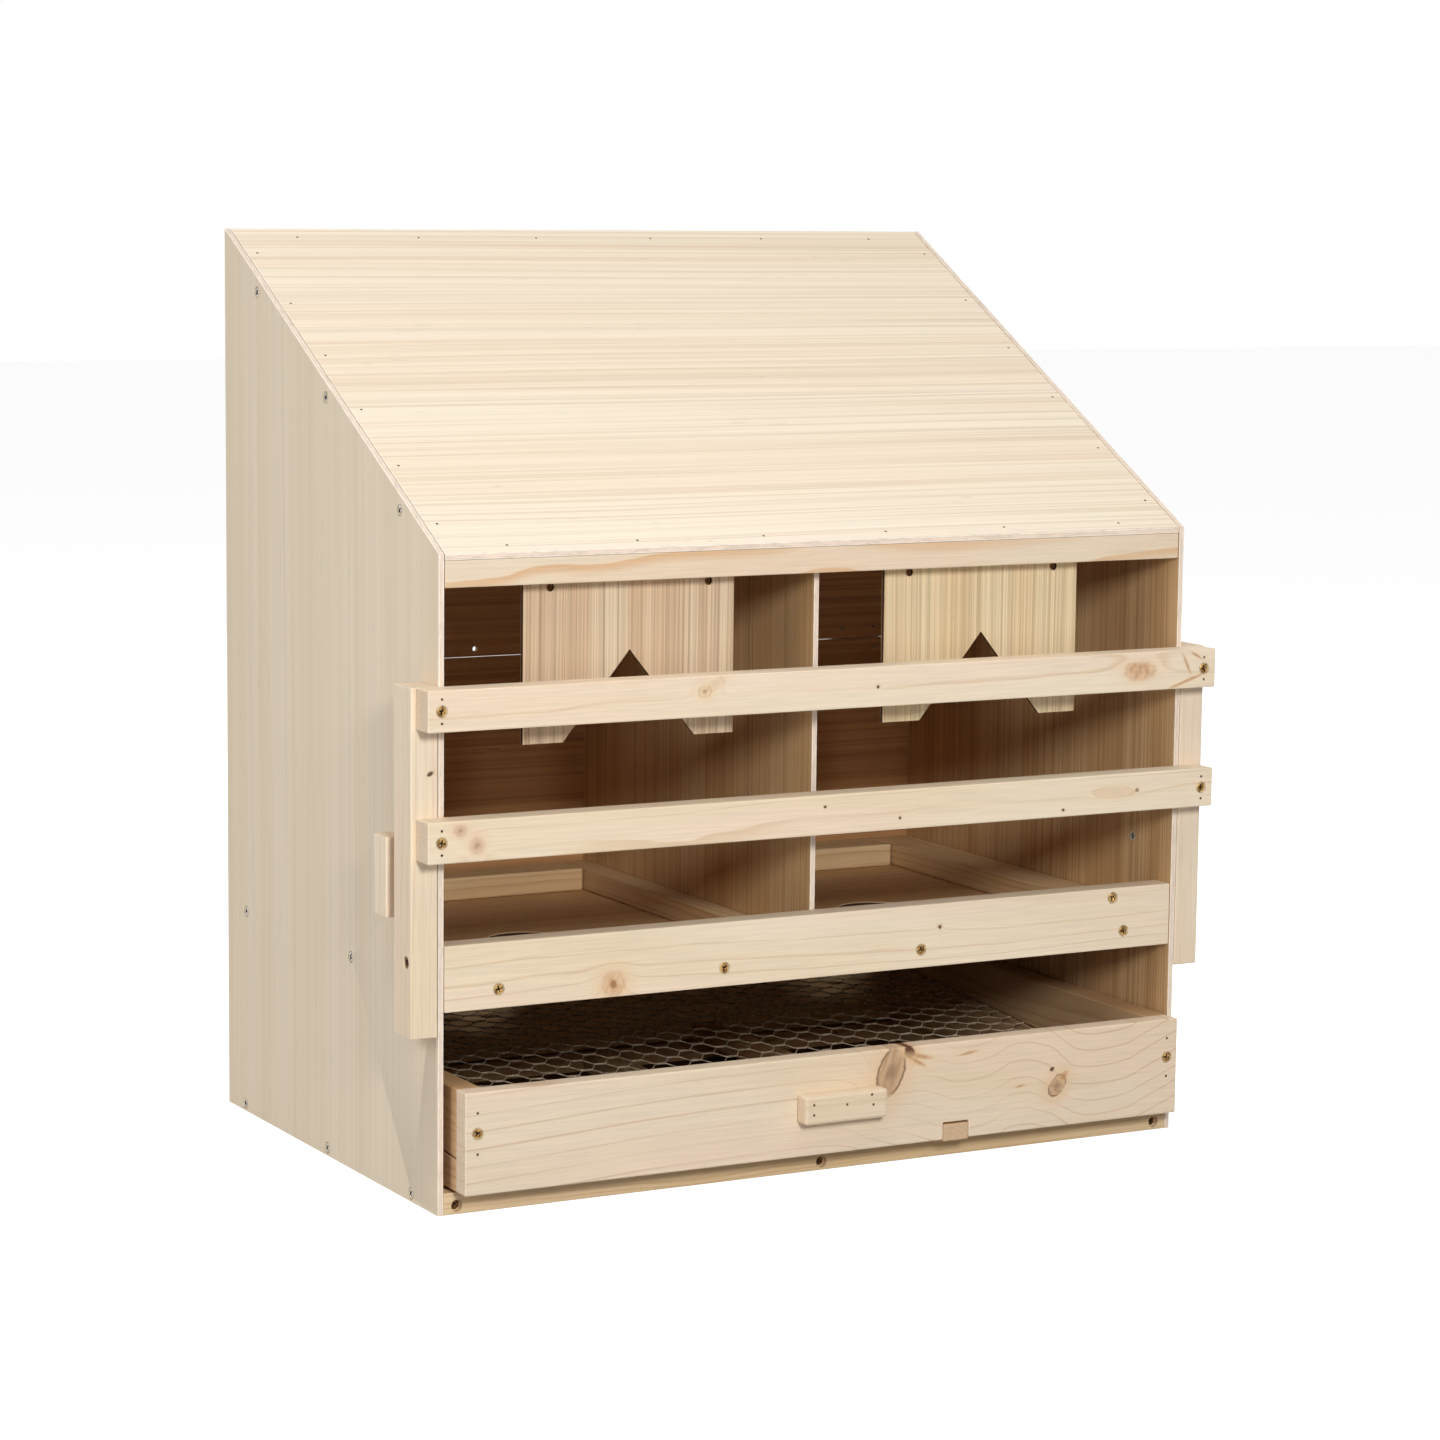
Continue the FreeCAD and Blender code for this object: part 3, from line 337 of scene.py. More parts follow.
# Noises that draw the wood's figure, and the limits between which they show
RING_SWAY = Noise((1.7, 9, 9), 1.0)
RING_RIPPLE = Noise((8, 45, 45))
RIPPLE_SHARE = 0.3
RING_SPACING = Noise((0.45, 0, 0))
LATE_FULL = 0.93
LATE_FALL = (1.0, 0.95)
LATE_FADE = Noise((5, 34, 34))
FADE_RANGE = (0.34, 0.62, 0.3, 1.0)
PINE_FIBRE = Noise((22, 760, 760), 3.0, 0.6)
PINE_TONE = Noise((2.6, 16, 16))
PINE_HUE = Noise((3.4, 24, 24))
HUE_SHIFT = (7.3, 0, 0)
KNOT_STRAY = Noise((190, 260, 260), 3.0)
KNOT_STREAK = Noise((3.4, 0.9, 0), 3.0, 0.65)
VENEER_DRIFT = Noise((1.5, 8, 60), 1.0)
DRIFT_WIDTH = 6 * MM
VENEER_BAND = Noise((0.8, 30, 150), 1.0)
VENEER_LINE = Noise((1.0, 130, 200), 2.0, 0.6)
VENEER_THREAD = Noise((1.2, 480, 200), 1.0, 0.6)
VENEER_FINE = Noise((2.5, 900, 300), 2.0, 0.6)
SPECK_PATCHES = Noise((11, 60, 90), 1.0)
PATCH_RANGE = (0.62, 0.7)
SPECK_DASHES = Noise((75, 520, 200), 0.0)
DASH_RANGE = (0.66, 0.76)


@lru_cache(maxsize=None)
def pine_figure() -> bpy.types.NodeTree:
    """Make the group that draws growth rings, fibres and drifting tone in trunk coordinates.

    Returns:
        A group with the outputs Late (dark late wood), Fibre, Tone and Hue.
    """
    numbers = dict.fromkeys(("Bulge", "Gap", "Wave", "Uneven", "Start"), NUMBER)
    group = Group("pine_figure", {"Vector": VECTOR, **numbers}, ("Late", "Fibre", "Tone", "Hue"))
    place = group.given["Vector"]
    sway = group.spread(group.noise(place, RING_SWAY), 1.0)
    ripple = group.spread(group.noise(place, RING_RIPPLE), RIPPLE_SHARE)
    warp = group.math("MULTIPLY", group.math("ADD", sway, ripple), group.given["Wave"])
    radius = group.vector("LENGTH", group.vector("MULTIPLY", place, (0, 1, 1)))
    grown = group.math("ADD", group.math("ADD", radius, warp), group.given["Bulge"])
    rings = group.math("DIVIDE", grown, group.given["Gap"])
    along_radius = group.add("ShaderNodeCombineXYZ")
    group.feed(along_radius.inputs[0], rings)
    uneven = group.spread(group.noise(along_radius.outputs[0], RING_SPACING), 1.0)
    season = group.math("FRACT", group.math("MULTIPLY_ADD", uneven, group.given["Uneven"], rings))
    rise = group.step(season, group.given["Start"], LATE_FULL)
    fall = group.step(season, *LATE_FALL)
    fade = group.step(group.noise(place, LATE_FADE), *FADE_RANGE)
    late = group.math("MULTIPLY", group.math("MULTIPLY", rise, fall), fade)
    return group.give(
        Late=late,
        Fibre=group.noise(place, PINE_FIBRE),
        Tone=group.noise(place, PINE_TONE),
        Hue=group.noise(group.vector("ADD", place, HUE_SHIFT), PINE_HUE),
    )


@lru_cache(maxsize=None)
def knot_field() -> bpy.types.NodeTree:
    """Make the group that measures how far a point lies from a knot, 1 at the knot's rim.

    Returns:
        A group with the outputs Reach (ragged), Smooth, Side (along the grain only) and Streak.
    """
    inputs = {"Vector": VECTOR, "Centre": VECTOR, "Scale": VECTOR, "Turn": NUMBER, "Ragged": NUMBER}
    group = Group("knot_field", inputs, ("Reach", "Smooth", "Side", "Streak"))
    turned = group.add("ShaderNodeVectorRotate", rotation_type="Z_AXIS")
    from_centre = group.vector("SUBTRACT", group.given["Vector"], group.given["Centre"])
    group.feed(turned.inputs["Vector"], from_centre)
    group.feed(turned.inputs["Angle"], group.given["Turn"])
    scaled = group.vector("MULTIPLY", turned.outputs[0], group.given["Scale"])
    smooth = group.vector("LENGTH", scaled)
    stray = group.spread(group.noise(group.given["Vector"], KNOT_STRAY), 1.0)
    return group.give(
        Reach=group.math("MULTIPLY_ADD", stray, group.given["Ragged"], smooth),
        Smooth=smooth,
        Side=group.parts(scaled)[0],
        Streak=group.noise(group.vector("ADD", scaled, group.given["Centre"]), KNOT_STREAK),
    )


@lru_cache(maxsize=None)
def veneer_figure() -> bpy.types.NodeTree:
    """Make the group that draws the straight figure of peeled or sliced veneer.

    Returns:
        A group with the outputs Band, Line, Thread (fine lines), Fine (fibres) and Speck.
    """
    group = Group("veneer_figure", {"Vector": VECTOR}, ("Band", "Line", "Thread", "Fine", "Speck"))
    drift = group.spread(group.noise(group.given["Vector"], VENEER_DRIFT), DRIFT_WIDTH)
    sideways = group.add("ShaderNodeCombineXYZ")
    group.feed(sideways.inputs[1], drift)
    place = group.vector("ADD", group.given["Vector"], sideways.outputs[0])
    scattered = group.step(group.noise(place, SPECK_PATCHES), *PATCH_RANGE)
    dashes = group.step(group.noise(place, SPECK_DASHES), *DASH_RANGE)
    return group.give(
        Band=group.noise(place, VENEER_BAND),
        Line=group.noise(place, VENEER_LINE),
        Thread=group.noise(place, VENEER_THREAD),
        Fine=group.noise(place, VENEER_FINE),
        Speck=group.math("MULTIPLY", scattered, dashes),
    )


@dataclass(frozen=True)
class KnotPaint:
    """Colours of a knot and how strongly each one shows.

    Attributes:
        core: heart of the knot.
        band: lines inside the knot.
        rim: bark line round the knot.
        halo: wood round the knot.
        core_mix: strength of the core.
        rim_mix: strength of the rim.
        halo_mix: strength of the halo.
        bulge: how far the grain swings round it, in knot heights.
        soft: width of the heart's edge, in knot sizes.
        eye_mix: strength of the dark eye.
        ragged: how far the outline strays, in knot sizes.
        HALO: where the halo begins and is full, in knot sizes.
        STREAKS: noise at which the lines in the heart begin and are full.
        HEART: where the heart's shade changes, and its light there.
        EYE: where the eye begins and is full.
        RIM_INSIDE: where the rim begins and is full, from the heart.
        RIM_OUTSIDE: where the rim begins and is full, from the wood.
        FLANK: where the rim begins and is full along the grain.
        FLANK_LEAST: strength of the rim where the grain crosses it.
    """

    core: Colour
    band: Colour
    rim: Colour
    halo: Colour
    core_mix: float
    rim_mix: float
    halo_mix: float
    bulge: float = 0.6
    soft: float = 0.14
    eye_mix: float = 0.0
    ragged: float = 0.34

    HALO = (2.8, 0.9)
    STREAKS = (0.36, 0.64)
    HEART = (0.0, 0.8, 0.9, 1.03)
    EYE = (0.5, 0.12)
    RIM_INSIDE = (0.88, 0.98)
    RIM_OUTSIDE = (1.14, 1.02)
    FLANK = (0.3, 0.8)
    FLANK_LEAST = 0.06

    def over(self, graph: Graph, colour: Socket, spots: bpy.types.NodeOutputs) -> Socket:
        """Paint a knot over the wood.

        Args:
            graph: the wood's graph.
            colour: the wood's colour.
            spots: the outputs of knot_field.

        Returns:
            The colour with the knot in it.
        """
        reach = spots["Reach"]
        colour = graph.mix(graph.step(reach, *self.HALO, 0.0, self.halo_mix), colour, self.halo)
        heart = graph.mix(graph.step(spots["Streak"], *self.STREAKS), self.core, self.band)
        heart = graph.shade(heart, graph.step(spots["Smooth"], *self.HEART))
        edge = graph.step(reach, 1 + self.soft, 1 - self.soft, 0.0, self.core_mix)
        colour = graph.mix(edge, colour, heart)
        colour = graph.mix(graph.step(reach, *self.EYE, 0.0, self.eye_mix), colour, self.rim)
        inner = graph.step(reach, *self.RIM_INSIDE)
        outer = graph.step(reach, *self.RIM_OUTSIDE)
        side = graph.math("ABSOLUTE", spots["Side"])
        flank = graph.step(side, *self.FLANK, self.FLANK_LEAST, self.rim_mix)
        rim = graph.math("MULTIPLY", graph.math("MULTIPLY", inner, outer), flank)
        return graph.mix(rim, colour, self.rim)


class KnotKind(Enum):
    """Sorts of knot and mark found in the boards."""

    PIN = KnotPaint(
        srgb(96, 64, 42), srgb(72, 46, 30), srgb(150, 108, 76), srgb(224, 194, 156),
        core_mix=0.95, rim_mix=0.2, halo_mix=0.45, bulge=1.2, soft=0.3,
    )
    RUST = KnotPaint(
        srgb(192, 146, 114), srgb(170, 120, 90), srgb(112, 72, 52), srgb(230, 200, 168),
        core_mix=0.5, rim_mix=0.0, halo_mix=0.6, bulge=0.5, soft=0.7, eye_mix=0.3,
    )
    SOUND = KnotPaint(
        srgb(222, 190, 154), srgb(202, 164, 126), srgb(158, 108, 72), srgb(232, 206, 170),
        core_mix=0.5, rim_mix=0.4, halo_mix=0.5, bulge=0.7, soft=0.3, eye_mix=0.8, ragged=0.2,
    )
    BRUSHED = KnotPaint(
        srgb(218, 176, 134), srgb(188, 136, 92), srgb(186, 138, 94), srgb(234, 206, 172),
        core_mix=0.75, rim_mix=0.2, halo_mix=0.45, bulge=0.5, soft=0.45,
    )
    RINGED = KnotPaint(
        srgb(220, 182, 140), srgb(196, 148, 104), srgb(150, 100, 64), srgb(230, 198, 158),
        core_mix=0.65, rim_mix=0.2, halo_mix=0.6, bulge=0.8, soft=0.45, eye_mix=0.8,
    )
    RED = KnotPaint(
        srgb(196, 164, 130), srgb(174, 138, 104), srgb(110, 74, 50), srgb(224, 190, 152),
        core_mix=0.9, rim_mix=0.75, halo_mix=0.6, bulge=0.9, soft=0.1, eye_mix=0.35, ragged=0.12,
    )
    BARK = KnotPaint(
        srgb(66, 36, 24), srgb(104, 58, 34), srgb(140, 84, 50), srgb(220, 180, 132),
        core_mix=1.0, rim_mix=0.4, halo_mix=0.6, bulge=0.4, soft=0.3,
    )
    STREAK = KnotPaint(
        srgb(200, 150, 104), srgb(178, 126, 82), srgb(206, 160, 116), srgb(230, 198, 154),
        core_mix=0.7, rim_mix=0.1, halo_mix=0.3, bulge=0.3, soft=0.5,
    )
    FAINT = KnotPaint(
        srgb(218, 184, 144), srgb(204, 166, 124), srgb(200, 158, 116), srgb(232, 206, 170),
        core_mix=0.3, rim_mix=0.3, halo_mix=0.3, bulge=0.5, soft=0.4,
    )


@dataclass(frozen=True)
class Grain:
    """How a piece was cut from the log.

    Attributes:
        along: direction of the fibres.
        face: direction that the broad face looks in.
        pith: the log's heart from the piece's middle, across the face and behind it, mm.
        shift: metres along an endless log, so that each piece has its own figure.
    """

    along: Triple
    face: Triple
    pith: tuple[float, float] = (0.0, 0.0)
    shift: float = 0.0

    def axes(self) -> np.ndarray:
        """Work out the trunk's directions.

        Returns:
            The unit vectors along the fibres, across the face and through it, as rows.
        """
        along = Vector(self.along).normalized()
        face = Vector(self.face).normalized()
        return np.array([along, along.cross(face), face])

    def trunk(self, points: np.ndarray, middle: np.ndarray) -> np.ndarray:
        """Turn points into trunk coordinates.

        Args:
            points: rows of points in the part's frame, metres.
            middle: the piece's middle.

        Returns:
            Rows of places along the trunk, across the face and through it.
        """
        along = self.axes()[0]
        moved = (points - middle) @ self.axes().T
        return moved + np.array([along @ middle + self.shift, self.pith[0] * MM, self.pith[1] * MM])


class Surface:
    """A new material: its graph, its shader and the piece's trunk coordinates.

    Attributes:
        BUMP: strength of the relief.
        SPECULAR: level of the plain gloss.
    """

    BUMP = 0.35
    SPECULAR = 0.3

    def __init__(self, name: str) -> None:
        """Start an empty material.

        Args:
            name: its name.
        """
        self.material = bpy.data.materials.new(name)
        self.material.use_nodes = True
        self.graph = Graph(self.material.node_tree)
        self.shader = self.material.node_tree.nodes["Principled BSDF"]
        self.place = self.graph.add("ShaderNodeAttribute", attribute_name=GRAIN).outputs["Vector"]

    def finish(self, colour: Feed, roughness: Feed, height: Feed, depth: float) -> bpy.types.Material:
        """Feed the shader.

        Args:
            colour: base colour.
            roughness: roughness.
            height: relief, 0 to 1.
            depth: depth of the relief in metres.

        Returns:
            The finished material.
        """
        bump = self.graph.add("ShaderNodeBump")
        bump.inputs["Strength"].default_value = self.BUMP
        bump.inputs["Distance"].default_value = depth
        self.graph.feed(bump.inputs["Height"], height)
        self.graph.feed(self.shader.inputs["Base Color"], colour)
        self.graph.feed(self.shader.inputs["Roughness"], roughness)
        self.graph.feed(self.shader.inputs["Normal"], bump.outputs[0])
        self.shader.inputs["Specular IOR Level"].default_value = self.SPECULAR
        return self.material


@dataclass(frozen=True)
class Knot:
    """A knot on a board's face.

    Attributes:
        at: place across and up in the part's frame, mm.
        size: half its length along the grain and half its height, mm.
        kind: how it looks.
        turn: turn of its long axis, degrees.
        STEEP: how quickly the grain falls back to straight beside it.
    """

    at: tuple[float, float]
    size: tuple[float, float]
    kind: KnotKind
    turn: float = 0.0

    STEEP = 0.28

    def spots(self, surface: Surface, grain: Grain, middle: np.ndarray) -> bpy.types.NodeOutputs:
        """Measure the distance from the knot.

        Args:
            surface: the board's material.
            grain: how the board was cut.
            middle: the board's middle.

        Returns:
            The outputs of knot_field.
        """
        point = np.array([[self.at[0] * MM, middle[1], self.at[1] * MM]])
        centre = grain.trunk(point, middle)[0]
        scale = (1 / (self.size[0] * MM), 1 / (self.size[1] * MM), 0.0)
        return surface.graph.group(
            knot_field(), Vector=surface.place, Centre=tuple(centre), Scale=scale,
            Turn=math.radians(self.turn), Ragged=self.kind.value.ragged,
        )

    def lift(self, graph: Graph, spots: bpy.types.NodeOutputs) -> Socket:
        """Work out how far the grain swings round the knot.

        Args:
            graph: the board's graph.
            spots: the outputs of knot_field.

        Returns:
            The swing, metres.
        """
        squared = graph.math("MULTIPLY", spots["Smooth"], spots["Smooth"])
        hill = graph.math("EXPONENT", graph.math("MULTIPLY", squared, -self.STEEP))
        return graph.math("MULTIPLY", hill, self.kind.value.bulge * self.size[1] * MM)


@dataclass(frozen=True)
class PineFinish:
    """Sawn and planed pine, unpainted.

    Attributes:
        label: word in the material's name.
        pale: early wood.
        warm: drifts of warmer wood.
        pink: drifts of pinker wood.
        late: late wood lines.
        end: tint that the end grain takes on.
        gap: width of a year's ring, metres.
        wave: sway of the rings, metres.
        ring_mix: strength of the late wood lines.
        uneven: how unlike each other the rings are.
        start: share of a ring at which its late wood begins.
        TONE: noise at which the warmer wood begins and is full.
        HUE: noise at which the pinker wood begins and is full, and its strength there.
        SHADE: noise between which the fibres shade the wood, and its light there.
        GLOSS: noise between which the roughness changes, and the roughness there.
        LATE_RELIEF: depth of the late wood, in fibre depths.
        PORES: noise of the pores on a sawn end.
        PORE_SHADE: noise between which they shade the end, and its light there.
        RELIEF: depth of the fibres, metres.
        END_RELIEF: depth of the pores on a sawn end, metres.
        END_MIX: how strongly the end grain takes on its tint.
        END_ROUGHNESS: roughness of a sawn end.
    """

    label: str
    pale: Colour
    warm: Colour
    pink: Colour
    late: Colour
    end: Colour = srgb(226, 202, 174)
    gap: float = 5.0 * MM
    wave: float = 9.0 * MM
    ring_mix: float = 0.5
    uneven: float = 0.9
    start: float = 0.5

    TONE = (0.36, 0.66)
    HUE = (0.44, 0.7, 0.0, 0.8)
    SHADE = (0.25, 0.75, 0.93, 1.04)
    GLOSS = (0.3, 0.7, 0.5, 0.68)
    LATE_RELIEF = 0.5
    PORES = Noise((500, 900, 900), 3.0, 0.7)
    PORE_SHADE = (0.3, 0.7, 0.86, 1.04)
    RELIEF = 0.25 * MM
    END_RELIEF = 0.3 * MM
    END_MIX = 0.55
    END_ROUGHNESS = 0.75

    def material(self, board: "Board") -> bpy.types.Material:
        """Make the material of a board's long faces.

        Args:
            board: the board.

        Returns:
            The material.
        """
        surface = Surface(f"pine_{self.label}_{board.node}")
        graph = surface.graph
        grain, middle, knots = board.grain, board.middle(), board.knots
        fields = [knot.spots(surface, grain, middle) for knot in knots]
        bulge: Feed = 0.0
        if board.flow:
            along = graph.math("SUBTRACT", graph.parts(surface.place)[0], grain.shift)
            bulge = graph.math("SUBTRACT", float(middle[2]), graph.line(along, board.flow))
        for knot, spots in zip(knots, fields):
            bulge = graph.math("ADD", knot.lift(graph, spots), bulge)
        colour, figure = self._wood(surface, bulge)
        for knot, spots in zip(knots, fields):
            colour = knot.kind.value.over(graph, colour, spots)
        roughness = graph.step(figure["Fibre"], *self.GLOSS)
        ridges = graph.math("MULTIPLY", figure["Late"], self.LATE_RELIEF)
        height = graph.math("ADD", figure["Fibre"], ridges)
        return surface.finish(colour, roughness, height, self.RELIEF)

    @lru_cache(maxsize=None)
    def end_material(self) -> bpy.types.Material:
        """Make the material of the sawn ends, once for all boards of this finish.

        Returns:
            The material.
        """
        surface = Surface(f"pine_{self.label}_end")
        graph = surface.graph
        colour, figure = self._wood(surface, 0.0)
        colour = graph.mix(self.END_MIX, colour, self.end)
        pores = graph.noise(surface.place, self.PORES)
        colour = graph.shade(colour, graph.step(pores, *self.PORE_SHADE))
        height = graph.math("ADD", pores, figure["Late"])
        return surface.finish(colour, self.END_ROUGHNESS, height, self.END_RELIEF)

    def _wood(self, surface: Surface, bulge: Feed) -> tuple[Socket, bpy.types.NodeOutputs]:
        """Draw clear wood.

        Args:
            surface: the material.
            bulge: how far the rings are pushed outwards, metres.

        Returns:
            The wood's colour, and the outputs of pine_figure.
        """
        graph = surface.graph
        figure = graph.group(
            pine_figure(), Vector=surface.place, Bulge=bulge, Gap=self.gap, Wave=self.wave,
            Uneven=self.uneven, Start=self.start,
        )
        colour = graph.mix(graph.step(figure["Tone"], *self.TONE), self.pale, self.warm)
        colour = graph.mix(graph.step(figure["Hue"], *self.HUE), colour, self.pink)
        colour = graph.mix(graph.math("MULTIPLY", figure["Late"], self.ring_mix), colour, self.late)
        return graph.shade(colour, graph.step(figure["Fibre"], *self.SHADE)), figure


@dataclass(frozen=True)
class VeneerFinish:
    """Face veneer of thin plywood, unpainted.

    Attributes:
        label: word in the material's name.
        pale: lightest wood.
        warm: broad warmer bands.
        line: narrow darker lines.
        band_mix: strength of the bands.
        line_mix: strength of the lines.
        thread_mix: strength of the finer lines.
        speck_mix: strength of the dark specks.
        fine_mix: how far the fibres darken and lighten it.
        BANDS: noise at which the bands begin and are full.
        LINES: noise at which the lines begin and are full.
        THREADS: noise at which the finer lines begin and are full.
        FIBRES: noise between which the fibres darken and lighten it.
        LIFT: share of the darkening by which the fibres lighten it.
        GLOSS: noise between which the roughness changes, and the roughness there.
        SPECK_SHADE: how much of the lines' light a speck keeps.
        RELIEF: depth of the fibres, metres.
    """

    label: str
    pale: Colour
    warm: Colour
    line: Colour
    band_mix: float = 0.8
    line_mix: float = 0.5
    thread_mix: float = 0.4
    speck_mix: float = 0.2
    fine_mix: float = 0.06

    BANDS = (0.34, 0.68)
    LINES = (0.5, 0.72)
    THREADS = (0.47, 0.66)
    FIBRES = (0.36, 0.64)
    LIFT = 0.7
    GLOSS = (0.3, 0.7, 0.52, 0.7)
    SPECK_SHADE = 0.35
    RELIEF = 0.2 * MM

    @lru_cache(maxsize=None)
    def material(self) -> bpy.types.Material:
        """Make the material, once for all panels of this finish.

        Returns:
            The material.
        """
        surface = Surface(f"veneer_{self.label}")
        graph = surface.graph
        figure = graph.group(veneer_figure(), Vector=surface.place)
        colour = graph.mix(graph.step(figure["Band"], *self.BANDS, 0.0, self.band_mix), self.pale, self.warm)
        colour = graph.mix(graph.step(figure["Line"], *self.LINES, 0.0, self.line_mix), colour, self.line)
        threads = graph.step(figure["Thread"], *self.THREADS, 0.0, self.thread_mix)
        colour = graph.mix(threads, colour, self.line)
        shades = (1 - self.fine_mix, 1 + self.LIFT * self.fine_mix)
        colour = graph.shade(colour, graph.step(figure["Fine"], *self.FIBRES, *shades))
        dark = tuple(self.SPECK_SHADE * share for share in self.line)
        colour = graph.mix(graph.math("MULTIPLY", figure["Speck"], self.speck_mix), colour, dark)
        roughness = graph.step(figure["Fine"], *self.GLOSS)
        height = graph.math("SUBTRACT", figure["Fine"], figure["Speck"])
        return surface.finish(colour, roughness, height, self.RELIEF)


@dataclass(frozen=True)
class PlyEdgeFinish:
    """Sawn edge of three-ply.

    Attributes:
        label: word in the material's name.
        under: strength of the painted shadow line along the lower arris.
        pale: outer plies.
        core: middle ply.
        glue: glue lines.
        arris_shadow: colour of the painted shadow line along the lower arris.
        core_half: half the middle ply, metres.
        half: half the thickness, metres.
        SAW: noise of the saw marks.
        TUFTS: noise of the torn tufts.
        TUFT_SHADE: noise between which they shade the edge, and its light there.
        FRAY: how far the saw shifts the plies' lines, metres.
        BLUR: half the width of the soft edge between plies, metres.
        GLUE_RISE: where a glue line begins and is full, from the middle ply's face, metres.
        GLUE_FALL: where it ends and is full, from that face, metres.
        GLUE_MIX: strength of the glue lines.
        ARRIS: where the painted shadow line along the lower arris ends and is full, from the lower face,
            metres.
        RELIEF: depth of the saw marks, metres.
        ROUGHNESS: roughness of the sawn wood.
    """

    label: str
    under: float = 0.0
    pale: Colour = srgb(248, 236, 221)
    core: Colour = srgb(238, 218, 198)
    glue: Colour = srgb(206, 172, 142)
    arris_shadow: Colour = srgb(128, 96, 72)
    core_half: float = 0.9 * MM
    half: float = 2.0 * MM

    SAW = Noise((420, 420, 900), 3.0, 0.65)
    TUFTS = Noise((90, 90, 700), 4.0, 0.7)
    TUFT_SHADE = (0.28, 0.6, 0.8, 1.03)
    FRAY = 0.12 * MM
    BLUR = 0.1 * MM
    GLUE_RISE = (-0.15 * MM, 0.0)
    GLUE_FALL = (0.2 * MM, 0.05 * MM)
    GLUE_MIX = 0.6
    ARRIS = (0.5 * MM, 0.2 * MM)
    RELIEF = 0.3 * MM
    ROUGHNESS = 0.8

    @lru_cache(maxsize=None)
    def material(self) -> bpy.types.Material:
        """Make the material, once for all panels with such edges.

        Returns:
            The material.
        """
        surface = Surface(f"sawn_{self.label}")
        graph = surface.graph
        through = graph.parts(surface.place)[2]
        rough = graph.noise(surface.place, self.SAW)
        depth = graph.math("ADD", graph.math("ABSOLUTE", through), graph.spread(rough, self.FRAY))
        inside = graph.step(depth, self.core_half + self.BLUR, self.core_half - self.BLUR)
        colour = graph.mix(inside, self.pale, self.core)
        rise = graph.step(depth, *(self.core_half + edge for edge in self.GLUE_RISE))
        fall = graph.step(depth, *(self.core_half + edge for edge in self.GLUE_FALL))
        glued = graph.math("MULTIPLY", graph.math("MULTIPLY", rise, fall), self.GLUE_MIX)
        colour = graph.mix(glued, colour, self.glue)
        tufts = graph.noise(surface.place, self.TUFTS)
        colour = graph.shade(colour, graph.step(tufts, *self.TUFT_SHADE))
        # Painted shadow: a dark line along the lower arris, where the edge overhangs what lies below it.
        arris = graph.step(through, *(edge - self.half for edge in self.ARRIS), 0.0, self.under)
        return surface.finish(graph.mix(arris, colour, self.arris_shadow), self.ROUGHNESS, rough, self.RELIEF)


@dataclass(frozen=True)
class MottledFinish:
    """A small mottled surface, such as plating, drawn steel or torn fibres.

    Attributes:
        label: word in the material's name.
        bright: its clean patches.
        dull: its dull patches.
        smooth: lowest roughness.
        rough: highest roughness.
        metal: how metallic it is; tarnish lowers that.
        CLOUD: noise of the patches.
        SCRATCH: noise of the scratches.
        DULLING: cloud at which the dull patches begin and are full.
        SCUFF: scratch at which the roughness is lowest and highest.
        RELIEF: depth of the scratches, metres.
    """

    label: str
    bright: Colour
    dull: Colour
    smooth: float = 0.28
    rough: float = 0.5
    metal: float = 1.0

    CLOUD = Noise((260, 260, 260), 3.0, 0.6)
    SCRATCH = Noise((1500, 1500, 1500), 2.0, 0.6)
    DULLING = (0.36, 0.64)
    SCUFF = (0.3, 0.7)
    RELIEF = 0.05 * MM

    @lru_cache(maxsize=None)
    def material(self) -> bpy.types.Material:
        """Make the material, once for all pieces of this finish.

        Returns:
            The material.
        """
        surface = Surface(f"mottled_{self.label}")
        graph = surface.graph
        place = graph.add("ShaderNodeTexCoord").outputs["Object"]
        cloud = graph.noise(place, self.CLOUD)
        scratch = graph.noise(place, self.SCRATCH)
        colour = graph.mix(graph.step(cloud, *self.DULLING), self.bright, self.dull)
        roughness = graph.step(scratch, *self.SCUFF, self.smooth, self.rough)
        surface.shader.inputs["Metallic"].default_value = self.metal
        return surface.finish(colour, roughness, scratch, self.RELIEF)


PINE = PineFinish(
    "cream", srgb(238, 222, 196), srgb(233, 212, 182), srgb(238, 215, 191), srgb(214, 180, 140),
    gap=7.0 * MM, ring_mix=0.5, start=0.8,
)
BAR_PINE = PineFinish(
    "bar", srgb(237, 220, 196), srgb(231, 211, 182), srgb(237, 214, 191), srgb(218, 192, 158),
    ring_mix=0.4, start=0.6,
)
LINTEL_PINE = PineFinish(
    "amber", srgb(229, 211, 185), srgb(225, 202, 170), srgb(230, 205, 179), srgb(212, 163, 110),
    gap=23.0 * MM, wave=1.5 * MM, ring_mix=0.65, uneven=0.0, start=0.58,
)
TAN_PINE = PineFinish(
    "tan", srgb(228, 202, 162), srgb(220, 190, 146), srgb(226, 194, 156), srgb(194, 154, 108), gap=3.5 * MM
)
DRAWER_PINE = PineFinish(
    "drawer", srgb(231, 213, 188), srgb(227, 205, 175), srgb(233, 209, 185), srgb(199, 164, 126),
    gap=12.0 * MM, wave=3.0 * MM, ring_mix=0.5, uneven=0.3, start=0.84,
)
# Painted shade: the slide pine is a darker copy of the pine for the drawer's sides and strips, standing in
# for the shade inside the drawer.
SHADED_SLIDE_PINE = PineFinish(
    "slide", srgb(200, 165, 124), srgb(190, 152, 109), srgb(196, 158, 119), srgb(161, 119, 79), ring_mix=0.5
)
BATTEN_PINE = PineFinish(
    "batten", srgb(222, 192, 148), srgb(214, 179, 133), srgb(218, 184, 142), srgb(180, 138, 91), ring_mix=0.5
)
